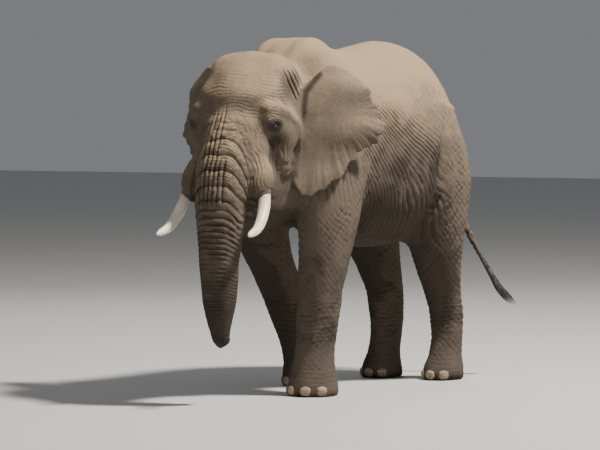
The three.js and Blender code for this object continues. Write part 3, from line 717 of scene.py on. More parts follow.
def settle(p, passes, reach, fine):
    """Moves points onto the hide along its slope, at most reach away in each pass."""
    step = 0.0015
    for _ in range(passes):
        d = flesh(p, fine)
        slope = np.column_stack([flesh(p + step * axis, fine) - d for axis in np.eye(3)]) / step
        size = np.maximum((slope**2).sum(1), 0.05)
        move = -slope * (d / size)[:, None]
        length = np.linalg.norm(move, axis=1)
        p = p + move * np.minimum(1, reach / np.maximum(length, 1e-9))[:, None]
    return p


# ---------------------------------------------------------------- folds


# Each family of folds: how far apart its folds lie, for the flank's as flank_level measures it,
# for it rises more slowly than the hide runs on
SPACING = {
    "temple": 0.035,
    "jowl": 0.036,
    "tusk": 0.036,
    "forehead": 0.030,
    "joint": 0.042,
    "flank": 0.028,
    "neck": 0.060,
    "cross_a": 0.043,
    "cross_b": 0.047,
}
# and how deep they are
DEPTH = {
    "ring": 0.013,
    "column": 0.015,
    "temple": 0.011,
    "jowl": 0.0065,
    "tusk": 0.0060,
    "fine": 0.0062,
    "forehead": 0.0034,
    "joint": 0.006,
    "flank": 0.0125,
    "neck": 0.010,
    "ear": 0.0046,
    "cross": 0.0075,
}
DRAWN_DEPTH = 0.012  # a fold of this depth is drawn in full
# The nine families in the order of fold_lines: how narrow their folds are pressed and drawn, how far
# the drawn lines sway, and between which values of noise they break off
PRESSED = (2.6, 2.6, 2.5, 2.2, 2.2, 2.0, 1.7, 2.0, 2.0)
DRAWN = (4.5, 4.5, 3.5, 3.0, 3.0, 3.0, 2.4, 2.8, 2.8)
SWAYS = (0.10, 0.12, 0.5, 0.35, 0.35, 0.35, 0.45, 0.55, 0.55)
BREAKS = ((0.05, 0.25), (0.10, 0.34), (0.34, 0.54), (0.20, 0.40), (0.30, 0.50))
BREAKS += ((0.20, 0.40), (0.26, 0.44), (0.34, 0.56), (0.38, 0.60))


def lattice(corner, seed):
    """A random number between 0 and 1 for each whole corner."""
    x, y, z = corner.T
    h = (x * 374761393 + y * 668265263 + z * 1274126177 + seed * 974634777) & 0xFFFFFFFF
    h = ((h ^ (h >> 13)) * 1274126177) & 0xFFFFFFFF
    return ((h ^ (h >> 16)) & 0xFFFF) / 65535.0


def mottle(p, size, seed=0):
    """Smooth random values between 0 and 1, in patches of about that size."""
    q = p / size
    base = np.floor(q).astype(np.int64)
    f = q - base
    w = f * f * (3 - 2 * f)
    total = np.zeros(len(p))
    for corner in itertools.product((0, 1), repeat=3):
        share = np.prod(np.where(corner, w, 1 - w), axis=1)
        total += share * lattice(base + corner, seed)
    return total


def groove(phase, sharp):
    """1 along a fold's line, falling to 0 between the lines."""
    return np.abs(2 * (phase - np.floor(phase)) - 1) ** sharp


TEMPLE_START = 1.338  # where the first fold before the ear lies
# Heights of the trunk's rings, and places across it of its upright grooves
RING_HEIGHTS = [2.60, 2.53, 2.448, 2.366, 2.235, 2.098, 1.956, 1.830, 1.745, 1.675, 1.610, 1.553]
RING_HEIGHTS += [1.498, 1.446, 1.396, 1.348, 1.302, 1.258, 1.216, 1.176, 1.138, 1.102, 1.067]
RING_HEIGHTS += [1.034, 1.002, 0.971, 0.941, 0.912, 0.884, 0.857, 0.831, 0.806, 0.782, 0.759]
RING_HEIGHTS += [0.737, 0.716, 0.695, 0.675, 0.655, 0.636, 0.617, 0.598, 0.580, 0.562, 0.545, 0.528]
COLUMN_PLACES = [-0.20, -0.128, -0.082, -0.036, 0.006, 0.050, 0.092, 0.20]
# How fast the flank's folds are crossed along the body, and up it
FLANK_ALONG = [(-0.30, 0.60), (0.45, 0.30)]
FLANK_UP = [(1.80, 0.20), (2.65, 0.60)]


def summed(rates, low, high):
    """A table of the sum of a rate that changes between two places."""
    places = np.linspace(low, high, 301)
    speeds = np.interp(places, [place for place, _ in rates], [rate for _, rate in rates])
    return places, np.concatenate([[0], np.cumsum(speeds[:-1] * np.diff(places))])


FLANK_ALONG_SUMS = summed(FLANK_ALONG, -1.4, 1.6)
FLANK_UP_SUMS = summed(FLANK_UP, 0.6, 3.4)


def flank_level(y, z):
    """Rises across the flank's folds: upright low behind the shoulder, flatter up and back."""
    return np.interp(y, *FLANK_ALONG_SUMS) + np.interp(z, *FLANK_UP_SUMS)


def fold_lines(p, normal):
    """The families of folds: a list of (phase, depth in metres), and where the tones change, painted shade
    among them.
    """
    q = to_head(p)
    x, y, z = q.T
    px, py, pz = np.abs(p[:, 0]), p[:, 1], p[:, 2]
    ax = np.abs(x)
    wander = np.column_stack([mottle(p, 0.11, s) - 0.5 for s in (1, 2, 3)])
    broad = np.column_stack([mottle(p, 0.35, s) - 0.5 for s in (4, 5, 6)])
    patch = mottle(p, 0.09, 7)
    flap, _ = ear(q)
    other = masses(p, TORSO, barrel(p))
    for name, (_, blend) in LEGS.items():
        other = soft_join(other, leg(p, name), blend)
    skull = np.minimum(head_without_ears(q), masses(q, JAW))
    on_ear = ramp(np.minimum(other, skull) - flap, -0.004, 0.02)
    head_side = ramp(other - skull, -0.02, 0.05)
    on_head = head_side * (1 - on_ear)
    on_body = (1 - head_side) * (1 - on_ear)
    back, up, out = by_eye(q)
    eye_off = np.sqrt(back**2 + up**2 + out**2)
    mirrored = on_left(q)
    off_crease, crease_depth, _ = polyline(mirrored, metres(EAR_CREASE), metres(EAR_CREASE_DEPTHS))
    off_eye = ramp(eye_off, 0.07, 0.13) * ramp(off_crease, 0.025, 0.065)

    # rings of the trunk, which sweep down between the trunk and the tusks' sheaths
    sweep = 109 * np.minimum(ax, 0.31) ** 4.36
    level = z + sweep + (0.016 + 0.03 * ramp(z, 2.0, 2.4)) * wander[:, 0] + 0.016 * broad[:, 2]
    heights = np.array(RING_HEIGHTS)
    ring = np.interp(-level, -heights, np.arange(len(heights)))
    on_face = on_head * ramp(y, -0.50, -0.72) * ramp(level, 2.66, 2.54)
    sheath = ramp(ax, 0.245, 0.30) * ramp(z, 1.70, 1.80)
    ring_depth = DEPTH["ring"] - 0.007 * ramp(z, 1.70, 1.05)
    ring_depth = ring_depth * (0.30 + 0.70 * ramp(level, 2.46, 2.30))
    rings = on_face * off_eye * ring_depth * (1 - 0.80 * sheath) * (0.5 + 0.9 * patch)

    # upright grooves down the front of the trunk's root, and upright folds before the ear
    columns = np.interp(x + 0.014 * wander[:, 1], COLUMN_PLACES, np.arange(len(COLUMN_PLACES)))
    centre = ramp(ax, 0.150, 0.115) * ramp(z, 2.66, 2.58) * ramp(z, 1.74, 1.84)
    centre *= 1 - ramp(x, 0.018, 0.035) * ramp(z, 2.12, 2.24)
    centre *= 1 - 0.35 * ramp(z, 2.28, 2.44) * (1 - ramp(np.abs(x - 0.006), 0.03, 0.012))
    front = ramp(normal[:, 1] * COS - normal[:, 0] * SIN, -0.45, -0.7)
    column_depth = on_head * centre * front * DEPTH["column"] * (0.6 + 0.8 * patch)
    across = 0.845 * ax + 0.339 * y + 0.41 * z - TEMPLE_START + 0.012 * wander[:, 2]
    by_ear = ramp(across, -0.026, -0.006) * ramp(across, 0.150, 0.105) * ramp(z, 2.50, 2.66)
    by_ear *= ramp(z, 3.06, 2.94) * ramp(ax, 0.20, 0.26)
    temple = across / SPACING["temple"]
    cheek = ramp(ax, 0.25, 0.30) * ramp(y, -0.86, -0.74) * ramp(z, 2.44, 2.34) * ramp(z, 1.72, 1.85)
    jowl = (y + 0.25 * (z - 2.1) + 0.03 * wander[:, 1]) / SPACING["jowl"]
    temple_depth = on_head * off_eye * by_ear * DEPTH["temple"] * (0.55 + 0.8 * patch)
    over_tusk = ramp(ax, 0.17, 0.23) * ramp(y, -0.74, -0.86) * ramp(z, 1.84, 1.96) * ramp(z, 2.46, 2.36)
    tusk_lines = ax + 0.30 * (z - 2.1) + 0.052 * wander[:, 0] + 0.04 * broad[:, 2]
    tusk_lines /= SPACING["tusk"]
    sideways = (normal[:, 0] * COS + normal[:, 1] * SIN) * np.sign(x)
    outward = np.abs(sideways * 0.96 + normal[:, 2] * 0.29)
    temple = np.where(z > 2.46, temple, tusk_lines)
    tusk_depth = on_head * off_eye * over_tusk * DEPTH["tusk"] * (0.2 + 1.2 * patch)
    tusk_depth *= ramp(outward, 0.95, 0.70)
    temple_depth = np.where(z > 2.46, temple_depth, tusk_depth)
    jowl_depth = on_head * off_eye * cheek * DEPTH["jowl"] * (0.4 + 1.1 * patch)

    # fine lines between the rings, over the forehead and round the joints of the legs
    forehead = on_head * ramp(z, 2.50, 2.60) * ramp(z, 3.04, 2.90) * ramp(y, -0.45, -0.62)
    brow_lines = (z + 0.5 * x * x + 0.035 * wander[:, 0] + 0.06 * broad[:, 0]) / SPACING["forehead"]
    fine = ring * 5 + 1.2 * broad[:, 0]
    fine_depth = on_face * off_eye * (DEPTH["fine"] - 0.003 * ramp(z, 1.8, 1.3)) * ramp(patch, 0.05, 0.45)
    forehead_depth = forehead * DEPTH["forehead"] * ramp(patch, 0.1, 0.6) * (1 - 0.4 * ramp(z, 2.75, 2.95))
    forehead_depth = forehead_depth * ramp(across, 0.01, -0.09) * off_eye
    joint = on_body * (ramp(pz, 0.42, 0.52) * ramp(pz, 0.98, 0.84) + 0.6 * ramp(pz, 0.34, 0.24))
    joint_lines = pz / SPACING["joint"] + 0.9 * wander[:, 0] + 0.8 * broad[:, 1]
    low = pz < 1.1
    fine = np.where(low & (on_body > 0.5), joint_lines, fine)
    fine_depth = np.where(low, np.maximum(fine_depth, joint * DEPTH["joint"]), fine_depth)

    # long loose folds of the flank, and the upright ones of the neck
    rise = flank_level(py, pz)
    flank = (rise + 0.016 * wander[:, 0] + 0.050 * broad[:, 1]) / SPACING["flank"]
    high = pz + 0.45 * py
    side = ramp(px, 0.25, 0.42) * on_body
    sides = side * ramp(py, -0.60, -0.42) * ramp(py, 0.80, 0.68) * ramp(high, 2.95, 2.45)
    sides = sides * ramp(pz, 1.2, 1.45) * ramp(pz, 3.00, 2.50)
    # Painted shade on the flank behind the shoulder.
    flank_shade = side * ramp(py, -0.80, -0.10) * ramp(py, 1.20, 0.45) * ramp(pz, 3.05, 2.00)
    flank_depth = DEPTH["flank"] * sides * (0.50 + 0.9 * patch)
    neck = on_body * ramp(py, -0.66, -0.78) * ramp(pz, 1.7, 1.9) * ramp(pz, 3.0, 2.75)
    neck_lines = (py + 0.15 * (pz - 2.0) + 0.03 * wander[:, 0] + 0.05 * broad[:, 1]) / SPACING["neck"]
    neck_depth = DEPTH["neck"] * neck * (0.5 + patch)
    phase, scalloped, outer = ear_rays(ear_place(q)[1], z)
    ear_lines = phase * 1.7 + 0.9 * wander[:, 2] + 1.1 * broad[:, 1]
    ear_depth = DEPTH["ear"] * ramp(on_ear, 0.6, 1.0) * (0.25 + 0.75 * outer) * (0.3 + 0.7 * scalloped)
    ear_depth = ear_depth * (0.15 + patch)
    neck_lines = np.where(on_ear > 0.5, ear_lines, neck_lines)
    neck_depth = np.where(on_ear > 0.5, ear_depth, neck_depth * (1 - ramp(on_ear, 0.1, 0.4)))

    # crossing folds of the rump, the thighs and the legs
    wx, wy, wz = (p + 0.034 * wander + 0.06 * broad).T
    cross_a = (0.55 * np.abs(wx) + 0.5 * wy + 0.62 * wz) / SPACING["cross_a"]
    cross_b = (-0.55 * np.abs(wx) - 0.5 * wy + 0.58 * wz) / SPACING["cross_b"]
    rump = on_body * ramp(py, 0.66, 0.80) * ramp(pz, 2.55, 2.05)
    limbs = on_body * ramp(pz, 1.75, 1.35)
    shoulder = on_body * ramp(py, -0.25, -0.5) * ramp(pz, 2.3, 1.9) * (1 - neck)
    cross = np.maximum(rump, np.maximum(0.7 * limbs, 0.7 * shoulder)) * ramp(pz, 0.12, 0.3)
    cross_depth = cross * (DEPTH["cross"] - 0.003 * ramp(pz, 1.4, 0.8)) * (0.5 + 0.9 * patch)
    nx = normal[:, 0] * np.sign(p[:, 0])
    facing_a = np.abs(0.57 * nx + 0.52 * normal[:, 1] + 0.64 * normal[:, 2])
    facing_b = np.abs(-0.58 * nx - 0.53 * normal[:, 1] + 0.62 * normal[:, 2])
    upper = on_body * ramp(pz, 2.2, 2.5) * (1 - sides) * (0.0012 + 0.0024 * ramp(py, 0.0, 0.5))
    cross_depth = np.maximum(cross_depth, upper * ramp(pz, 3.15, 2.9))

    off_valley = np.full(len(p), 1.0)
    for points, _, _ in (VALLEYS[0], VALLEYS[2]):
        off, _, _ = polyline(mirrored, metres(points), np.zeros(len(points)))
        off_valley = np.minimum(off_valley, off)
    # Masks of painted shade among the tones: the ear's crease, the valleys of the face and the flank. The
    # eye's is the dark wet skin round the eye with painted shade in its socket.
    tones = {
        "on_ear": on_ear,
        "on_head": on_head,
        "flank": flank_shade,
        "crevice_shade": ramp(off_crease, 0.048, 0.008) * (0.35 + 0.65 * ramp(z, 2.30, 2.50)),
        "crease": crease_depth * ramp(off_crease, 0.045, 0.0),
        "knobbly": on_face * ramp(z, 1.3, 1.6) * (1 - 0.6 * sheath),
        "painted_hollow_shade": ramp(off_valley, 0.10, 0.05) * ramp(eye_off, 0.09, 0.19),
        "eye": ramp(np.hypot(0.8 * back, up + 0.008), 0.092, 0.036) * ramp(eye_off, 0.14, 0.09),
        "patch": patch,
        "broad": broad[:, 0] + 0.5,
    }
    families = [
        (ring, rings),
        (columns, column_depth),
        (fine, fine_depth),
        (temple, temple_depth),
        (np.where(z > 2.5, brow_lines, jowl), np.where(z > 2.5, forehead_depth, jowl_depth)),
        (neck_lines, neck_depth),
        (flank, flank_depth),
        (cross_a, cross_depth * ramp(facing_a, 0.97, 0.82)),
        (cross_b, cross_depth * ramp(facing_b, 0.97, 0.82)),
    ]
    return families, tones


def press_folds(p, normal, amount):
    """Presses the families of folds into the hide."""
    families, tones = fold_lines(p, normal)
    sink = np.zeros(len(p))
    for (phase, depth), sharp in zip(families, PRESSED):
        sink += depth * (groove(phase, sharp) - 0.25)
    back, up, out = by_eye(to_head(p))
    eye_off = np.sqrt((0.8 * back) ** 2 + (1.1 * up) ** 2 + out**2)
    circles = groove(eye_off / 0.0115 + 0.3 * np.sin(3 * np.arctan2(up, back)), 2.0)
    sink += 0.0036 * circles * ramp(eye_off, 0.036, 0.044) * ramp(eye_off, 0.125, 0.075)
    wide = groove(eye_off / 0.027 + 0.5 * np.sin(2 * np.arctan2(up, back)) + tones["broad"], 2.0)
    sink += 0.0062 * wide * ramp(eye_off, 0.062, 0.090) * ramp(eye_off, 0.235, 0.15) * tones["on_head"]
    sink += tones["crease"]
    lumpy = (mottle(p, 0.045, 11) - 0.5) * 0.003 + (mottle(p, 0.14, 12) - 0.5) * 0.010
    lumpy += (mottle(p, 0.030, 13) - 0.5) * 0.011 * tones["knobbly"]
    lumpy *= ramp(eye_off, 0.05, 0.12) * (1 - 0.7 * tones["on_ear"])
    return p - normal * (amount * (sink + lumpy))[:, None]


# ---------------------------------------------------------------- meshes


def co_of(mesh):
    """The places of a mesh's points."""
    co = np.zeros(len(mesh.vertices) * 3)
    mesh.vertices.foreach_get("co", co)
    return co.reshape(-1, 3)


def set_co(mesh, co):
    """Moves a mesh's points to those places."""
    mesh.vertices.foreach_set("co", np.ascontiguousarray(co, np.float32).ravel())
    mesh.update()


def normals_of(mesh):
    """The normals at a mesh's points."""
    normal = np.zeros(len(mesh.vertices) * 3)
    mesh.vertex_normals.foreach_get("vector", normal)
    return normal.reshape(-1, 3)


def add_object(name, data):
    """A new object in the scene, with that mesh, curve, lamp or camera."""
    obj = bpy.data.objects.new(name, data)
    bpy.context.scene.collection.objects.link(obj)
    return obj


def edited(mesh, *steps):
    """Runs each step on the mesh as a bmesh."""
    bm = bmesh.new()
    bm.from_mesh(mesh)
    for step in steps:
        step(bm)
    bm.to_mesh(mesh)
    bm.free()


def mesh_of(bm, name):
    """A new mesh made from a bmesh, which is freed."""
    mesh = bpy.data.meshes.new(name)
    bm.to_mesh(mesh)
    bm.free()
    return mesh


def finish_piece(obj, material, nodes=()):
    """Gives a piece its material and shading, and ties it to the part."""
    obj.data.materials.clear()
    obj.data.materials.append(material)
    obj.data.shade_smooth()
    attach(obj, "root")
    if nodes:
        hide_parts(*nodes)


def evaluated(obj):
    """The object's mesh with its modifiers applied."""
    graph = bpy.context.evaluated_depsgraph_get()
    return bpy.data.meshes.new_from_object(obj.evaluated_get(graph))


def node_copy(bm, name):
    """Adds a copy of a CAD node to a bmesh, merged."""
    before = set(bm.verts)
    bm.from_mesh(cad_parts[name].data)
    added = [v for v in bm.verts if v not in before]
    bmesh.ops.remove_doubles(bm, verts=added, dist=1e-5)
    return [v for v in bm.verts if v not in before]


def swell(verts, by):
    """Moves points out along their normals."""
    places = [v.co + v.normal * by for v in verts]
    for v, place in zip(verts, places):
        v.co = place


def lift_ear(verts):
    """Bends an ear's copy into its ripples and its hanging lobe."""
    q = to_head(np.array([v.co for v in verts]) + ORIGIN)
    side, along, _, _ = ear_place(q)
    relief, _ = ear_relief(along, q[:, 2])
    q[:, 0] += side * EAR_OUT[0] * relief
    q[:, 1] += EAR_OUT[1] * relief
    for v, place in zip(verts, from_head(q) - ORIGIN):
        v.co = place


def core_mesh():
    """Copies of the nodes of flesh in one mesh, with the sockets of tusks and eyes filled."""
    bm = bmesh.new()
    for name in FLESH:
        verts = node_copy(bm, name)
        if name.startswith("ear"):
            bm.normal_update()
            swell(verts, 0.009)
            lift_ear(verts)
    for side in ("left", "right"):
        verts = node_copy(bm, f"eye_{side}")
        bm.normal_update()
        swell(verts, 0.005)
    for side in ("left", "right"):
        plug = bmesh.new()
        node_copy(plug, f"tusk_{side}")
        sign = 1 if side == "left" else -1
        around_lip = np.array([TUSK_LIP - 0.01, TUSK_LIP + 0.01])
        at = placed(np.column_stack(tusk_line(around_lip)), sign)
        cut = bmesh.ops.bisect_plane(
            plug,
            geom=plug.verts[:] + plug.edges[:] + plug.faces[:],
            plane_co=at[0],
            plane_no=at[1] - at[0],
            clear_outer=True,
        )
        edges = [e for e in cut["geom_cut"] if isinstance(e, bmesh.types.BMEdge)]
        bmesh.ops.contextual_create(plug, geom=edges)
        mesh = mesh_of(plug, "plug")
        bm.from_mesh(mesh)
        bpy.data.meshes.remove(mesh)
    return mesh_of(bm, "core")


def keep_outside(bm):
    """Deletes every piece of a mesh but its largest."""
    left = set(bm.verts)
    pieces = []
    while left:
        piece = {left.pop()}
        rim = list(piece)
        while rim:
            near = {e.other_vert(v) for v in rim for e in v.link_edges} - piece
            piece |= near
            rim = list(near)
        left -= piece
        pieces.append(piece)
    pieces.sort(key=len)
    for piece in pieces[:-1]:
        bmesh.ops.delete(bm, geom=list(piece), context="VERTS")


def refine(bm, centre, reaches):
    """Splits the edges near a point, once within each of the reaches."""
    for reach in reaches:
        edges = [e for e in bm.edges if all((v.co - centre).length < reach for v in e.verts)]
        bmesh.ops.subdivide_edges(bm, edges=edges, cuts=1, use_grid_fill=True)


def feature_places():
    """Where the hide needs its smallest faces, and how far round: eyes, tusk lips, temples, trunk's tip."""
    lip = np.column_stack(tusk_line(np.array([TUSK_LIP])))
    places = []
    for sign in (1, -1):
        for at, reaches in ((EYE_AT, (0.16, 0.10, 0.062)), (lip, (0.15,)), (TEMPLE, (0.25,))):
            places.append((Vector(placed(at, sign)[0]), reaches))
    places.append((Vector(placed(trunk_end, 1)[0]), (0.15, 0.11)))
    return places


def refine_features(bm):
    """Splits the faces at the features."""
    for centre, reaches in feature_places():
        refine(bm, centre, reaches)


def smooth_all(bm):
    """Moves every point half way to the middle of its neighbours."""
    axes = {f"use_axis_{axis}": True for axis in "xyz"}
    bmesh.ops.smooth_vert(bm, verts=bm.verts[:], factor=0.5, **axes)


def triangulate_all(bm):
    """Splits every face into triangles."""
    bmesh.ops.triangulate(bm, faces=bm.faces[:], quad_method="SHORT_EDGE")


def remeshed(mesh, size):
    """One skin of even faces over the mesh."""
    obj = add_object("core", mesh)
    voxels = obj.modifiers.new("voxels", "REMESH")
    voxels.mode = "VOXEL"
    voxels.voxel_size = size
    made = evaluated(obj)
    bpy.data.objects.remove(obj)
    return made


WEIGHT_STEPS = 25  # how many levels the weights for thinning have


def thinned(mesh, weights, most):
    """The mesh brought down to at most that many triangles, most where the weights are high."""
    edited(mesh, triangulate_all)
    obj = add_object("thinning", mesh)
    group = obj.vertex_groups.new(name="plain")
    for step in range(WEIGHT_STEPS + 1):
        chosen = np.nonzero(np.round(weights * WEIGHT_STEPS) == step)[0].tolist()
        if chosen:
            group.add(chosen, step / WEIGHT_STEPS, "REPLACE")
    total = len(mesh.polygons)
    if total > most:
        collapse = obj.modifiers.new("collapse", "DECIMATE")
        collapse.ratio = most / total
        collapse.vertex_group = group.name
        collapse.vertex_group_factor = 1.0
    made = evaluated(obj)
    bpy.data.objects.remove(obj)
    return made


def set_attribute(mesh, name, values):
    """Writes one value or three onto each point of a mesh."""
    kind = "FLOAT" if values.ndim == 1 else "FLOAT_VECTOR"
    field = "value" if values.ndim == 1 else "vector"
    made = mesh.attributes.new(name, kind, "POINT")
    made.data.foreach_set(field, np.ascontiguousarray(values, np.float32).ravel())


def mark_hide(mesh):
    """Writes the folds' phases and depths and the hide's tones onto its points: dust with painted top
    light, painted shade, and the dark ring round the eyes.
    """
    p = co_of(mesh) + ORIGIN
    normal = normals_of(mesh)
    families, tones = fold_lines(p, normal)
    phases = np.column_stack([phase for phase, _ in families])
    depths = np.column_stack([depth for _, depth in families]) / DRAWN_DEPTH
    for start, name in enumerate("abc"):
        columns = slice(3 * start, 3 * start + 3)
        set_attribute(mesh, f"folds_{name}", phases[:, columns])
        set_attribute(mesh, f"depth_{name}", depths[:, columns])
    # Dust is real on the back, but it also lies thickest high up and on the upward faces, as painted top
    # light.
    height = ramp(p[:, 2], 1.2, 2.9)
    upward = ramp(normal[:, 2], -0.2, 0.9)
    broad, on_head = tones["broad"], tones["on_head"]
    dust_and_top_light = 0.02 + 0.36 * height + 0.62 * upward * (0.3 + height) + 0.3 * (broad - 0.5)
    dust_and_top_light = np.clip(dust_and_top_light, 0, 1)
    dust_and_top_light *= 1 - 0.38 * tones["on_ear"] - 0.30 * on_head * ramp(p[:, 2], 2.0, 2.6)
    # Painted shade: faces turned down and the low parts, the lower trunk most, are darkened.
    painted_underside_shade = ramp(normal[:, 2], 0.15, -0.7) * 0.8 + ramp(p[:, 2], 2.2, 0.7) * (0.65 + 0.25 * on_head)
    # Painted shade in the ear's crease, in the valleys of the face and on the flank; the dust is taken off
    # there.
    painted_hollow_shade = np.maximum(tones["crevice_shade"], tones["painted_hollow_shade"]) + 0.68 * tones["flank"] * (0.5 + broad)
    dust_and_top_light *= 1 - 0.8 * np.clip(painted_hollow_shade, 0, 1)
    # All the painted shade, with a little random mottle.
    painted_shade_and_mottle = np.clip(painted_underside_shade + painted_hollow_shade + 0.3 * (tones["patch"] - 0.5), 0, 1)
    set_attribute(mesh, "tone", np.column_stack([dust_and_top_light, painted_shade_and_mottle, tones["eye"]]))


# ---------------------------------------------------------------- materials


class Wire:
    """A node socket that can be written in sums."""

    def __init__(self, tree, socket):
        self.tree, self.socket = tree, socket

    def _math(self, operation, *values):
        """A math node over those values."""
        return self.tree.node("ShaderNodeMath", {"operation": operation}, values)

    def __add__(self, other):
        return self._math("ADD", self, other)

    def __sub__(self, other):
        return self._math("SUBTRACT", self, other)

    def __rsub__(self, other):
        return self._math("SUBTRACT", other, self)

    def __mul__(self, other):
        return self._math("MULTIPLY", self, other)

    def __pow__(self, other):
        return self._math("POWER", self, other)

    __radd__ = __add__
    __rmul__ = __mul__

    def fract(self):
        """The part after the point."""
        return self._math("FRACT", self)

    def size(self):
        """The value without its sign."""
        return self._math("ABSOLUTE", self)

    def least(self, other):
        """The smaller of the two."""
        return self._math("MINIMUM", self, other)

    def between(self, low, high, start=0.0, end=1.0):
        """This value mapped smoothly from low..high to start..end."""
        settings = {"interpolation_type": "SMOOTHSTEP"}
        return self.tree.node("ShaderNodeMapRange", settings, (self, low, high, start, end))

    def parts(self):
        """The three parts of a vector."""
        made = self.tree.raw("ShaderNodeSeparateXYZ", {}, {"Vector": self})
        return [Wire(self.tree, made.outputs[axis]) for axis in "XYZ"]


class Finish:
    """A material under construction."""

    def __init__(self, name):
        self.material = bpy.data.materials.new(name)
        self.material.use_nodes = True
        self.nodes = self.material.node_tree.nodes
        self.links = self.material.node_tree.links
        self.shader = self.nodes["Principled BSDF"]

    def raw(self, kind, settings, inputs):
        """A node of that kind, with its settings set first and then its sockets."""
        made = self.nodes.new(kind)
        for key, value in settings.items():
            setattr(made, key, value)
        pairs = inputs.items() if isinstance(inputs, dict) else enumerate(inputs)
        for key, value in pairs:
            self.put(made.inputs[key], value)
        return made

    def node(self, kind, settings, inputs, output=0):
        """One output of a new node of that kind."""
        return Wire(self, self.raw(kind, settings, inputs).outputs[output])

    def put(self, socket, value):
        """Links a wire to a socket, or sets the socket's value."""
        if isinstance(value, Wire):
            self.links.new(value.socket, socket)
        elif value is not None:
            socket.default_value = value

    def attribute(self, name):
        """A value that the mesh carries on its points."""
        return self.node("ShaderNodeAttribute", {"attribute_name": name}, {}, "Vector")

    def object_place(self):
        """Where the surface is, in metres."""
        return self.node("ShaderNodeTexCoord", {}, {}, "Object")

    def scaled(self, vector, scale):
        """The vector stretched by that scale."""
        return self.node("ShaderNodeMapping", {}, {"Vector": vector, "Scale": scale})

    def noise(self, vector, scale, detail=3.0, roughness=0.55):
        """Noise from 0 to 1, with that many waves in each metre."""
        inputs = {"Vector": vector, "Scale": scale, "Detail": detail, "Roughness": roughness}
        return self.node("ShaderNodeTexNoise", {}, inputs, "Fac")

    def cracks(self, vector, scale):
        """Distance to the edges of cells, small along the cracks between them."""
        settings = {"feature": "DISTANCE_TO_EDGE"}
        return self.node("ShaderNodeTexVoronoi", settings, {"Vector": vector, "Scale": scale}, "Distance")

    def mix(self, amount, one, other):
        """A colour between two colours."""
        made = self.raw("ShaderNodeMix", {"data_type": "RGBA"}, {})
        self.put(made.inputs["Factor"], amount)
        self.put(made.inputs[6], one)
        self.put(made.inputs[7], other)
        return Wire(self, made.outputs[2])

    def bump(self, height, strength, distance):
        """The normal bent by a height."""
        inputs = {"Height": height, "Strength": strength, "Distance": distance}
        return self.node("ShaderNodeBump", {}, inputs, "Normal")

    def set(self, **sockets):
        """Feeds the shader's sockets."""
        for name, value in sockets.items():
            self.put(self.shader.inputs[name.replace("_", " ")], value)
        return self.material


def rgb(red, green, blue):
    """A display colour, 0 to 255, as a linear one."""

    def linear(value):
        """One channel, made linear."""
        v = value / 255
        return v / 12.92 if v <= 0.04045 else ((v + 0.055) / 1.055) ** 2.4

    return (linear(red), linear(green), linear(blue), 1.0)


# The dark wet skin round the eye, with painted shade in its socket.
WET_SKIN_AND_SOCKET_SHADE = rgb(34, 29, 26)
OLD_IVORY = rgb(222, 206, 180)
CRACKED_IVORY = rgb(120, 96, 70)
PUPIL = rgb(6, 5, 5)
DARK_IRIS = rgb(48, 30, 19)
LIGHT_IRIS = rgb(70, 45, 27)
IRIS_EDGE = rgb(34, 26, 22)
EYE_WHITE = rgb(92, 74, 62)
NAIL_BAND = rgb(132, 116, 95)
NAIL_DIRT = rgb(104, 86, 66)
DUSTY_HAIR = rgb(66, 68, 72)
FLOOR_GRAIN = rgb(170, 168, 164)


# How many of each pattern lie along a metre of hide
CRACKS = 44.0
FINE_CRACKS = 115.0
PORES = 240.0
GRAIN = 34.0
BLOTCHES = 2.6
WOBBLES = 14.0
FOLD_BREAKS = 6.5


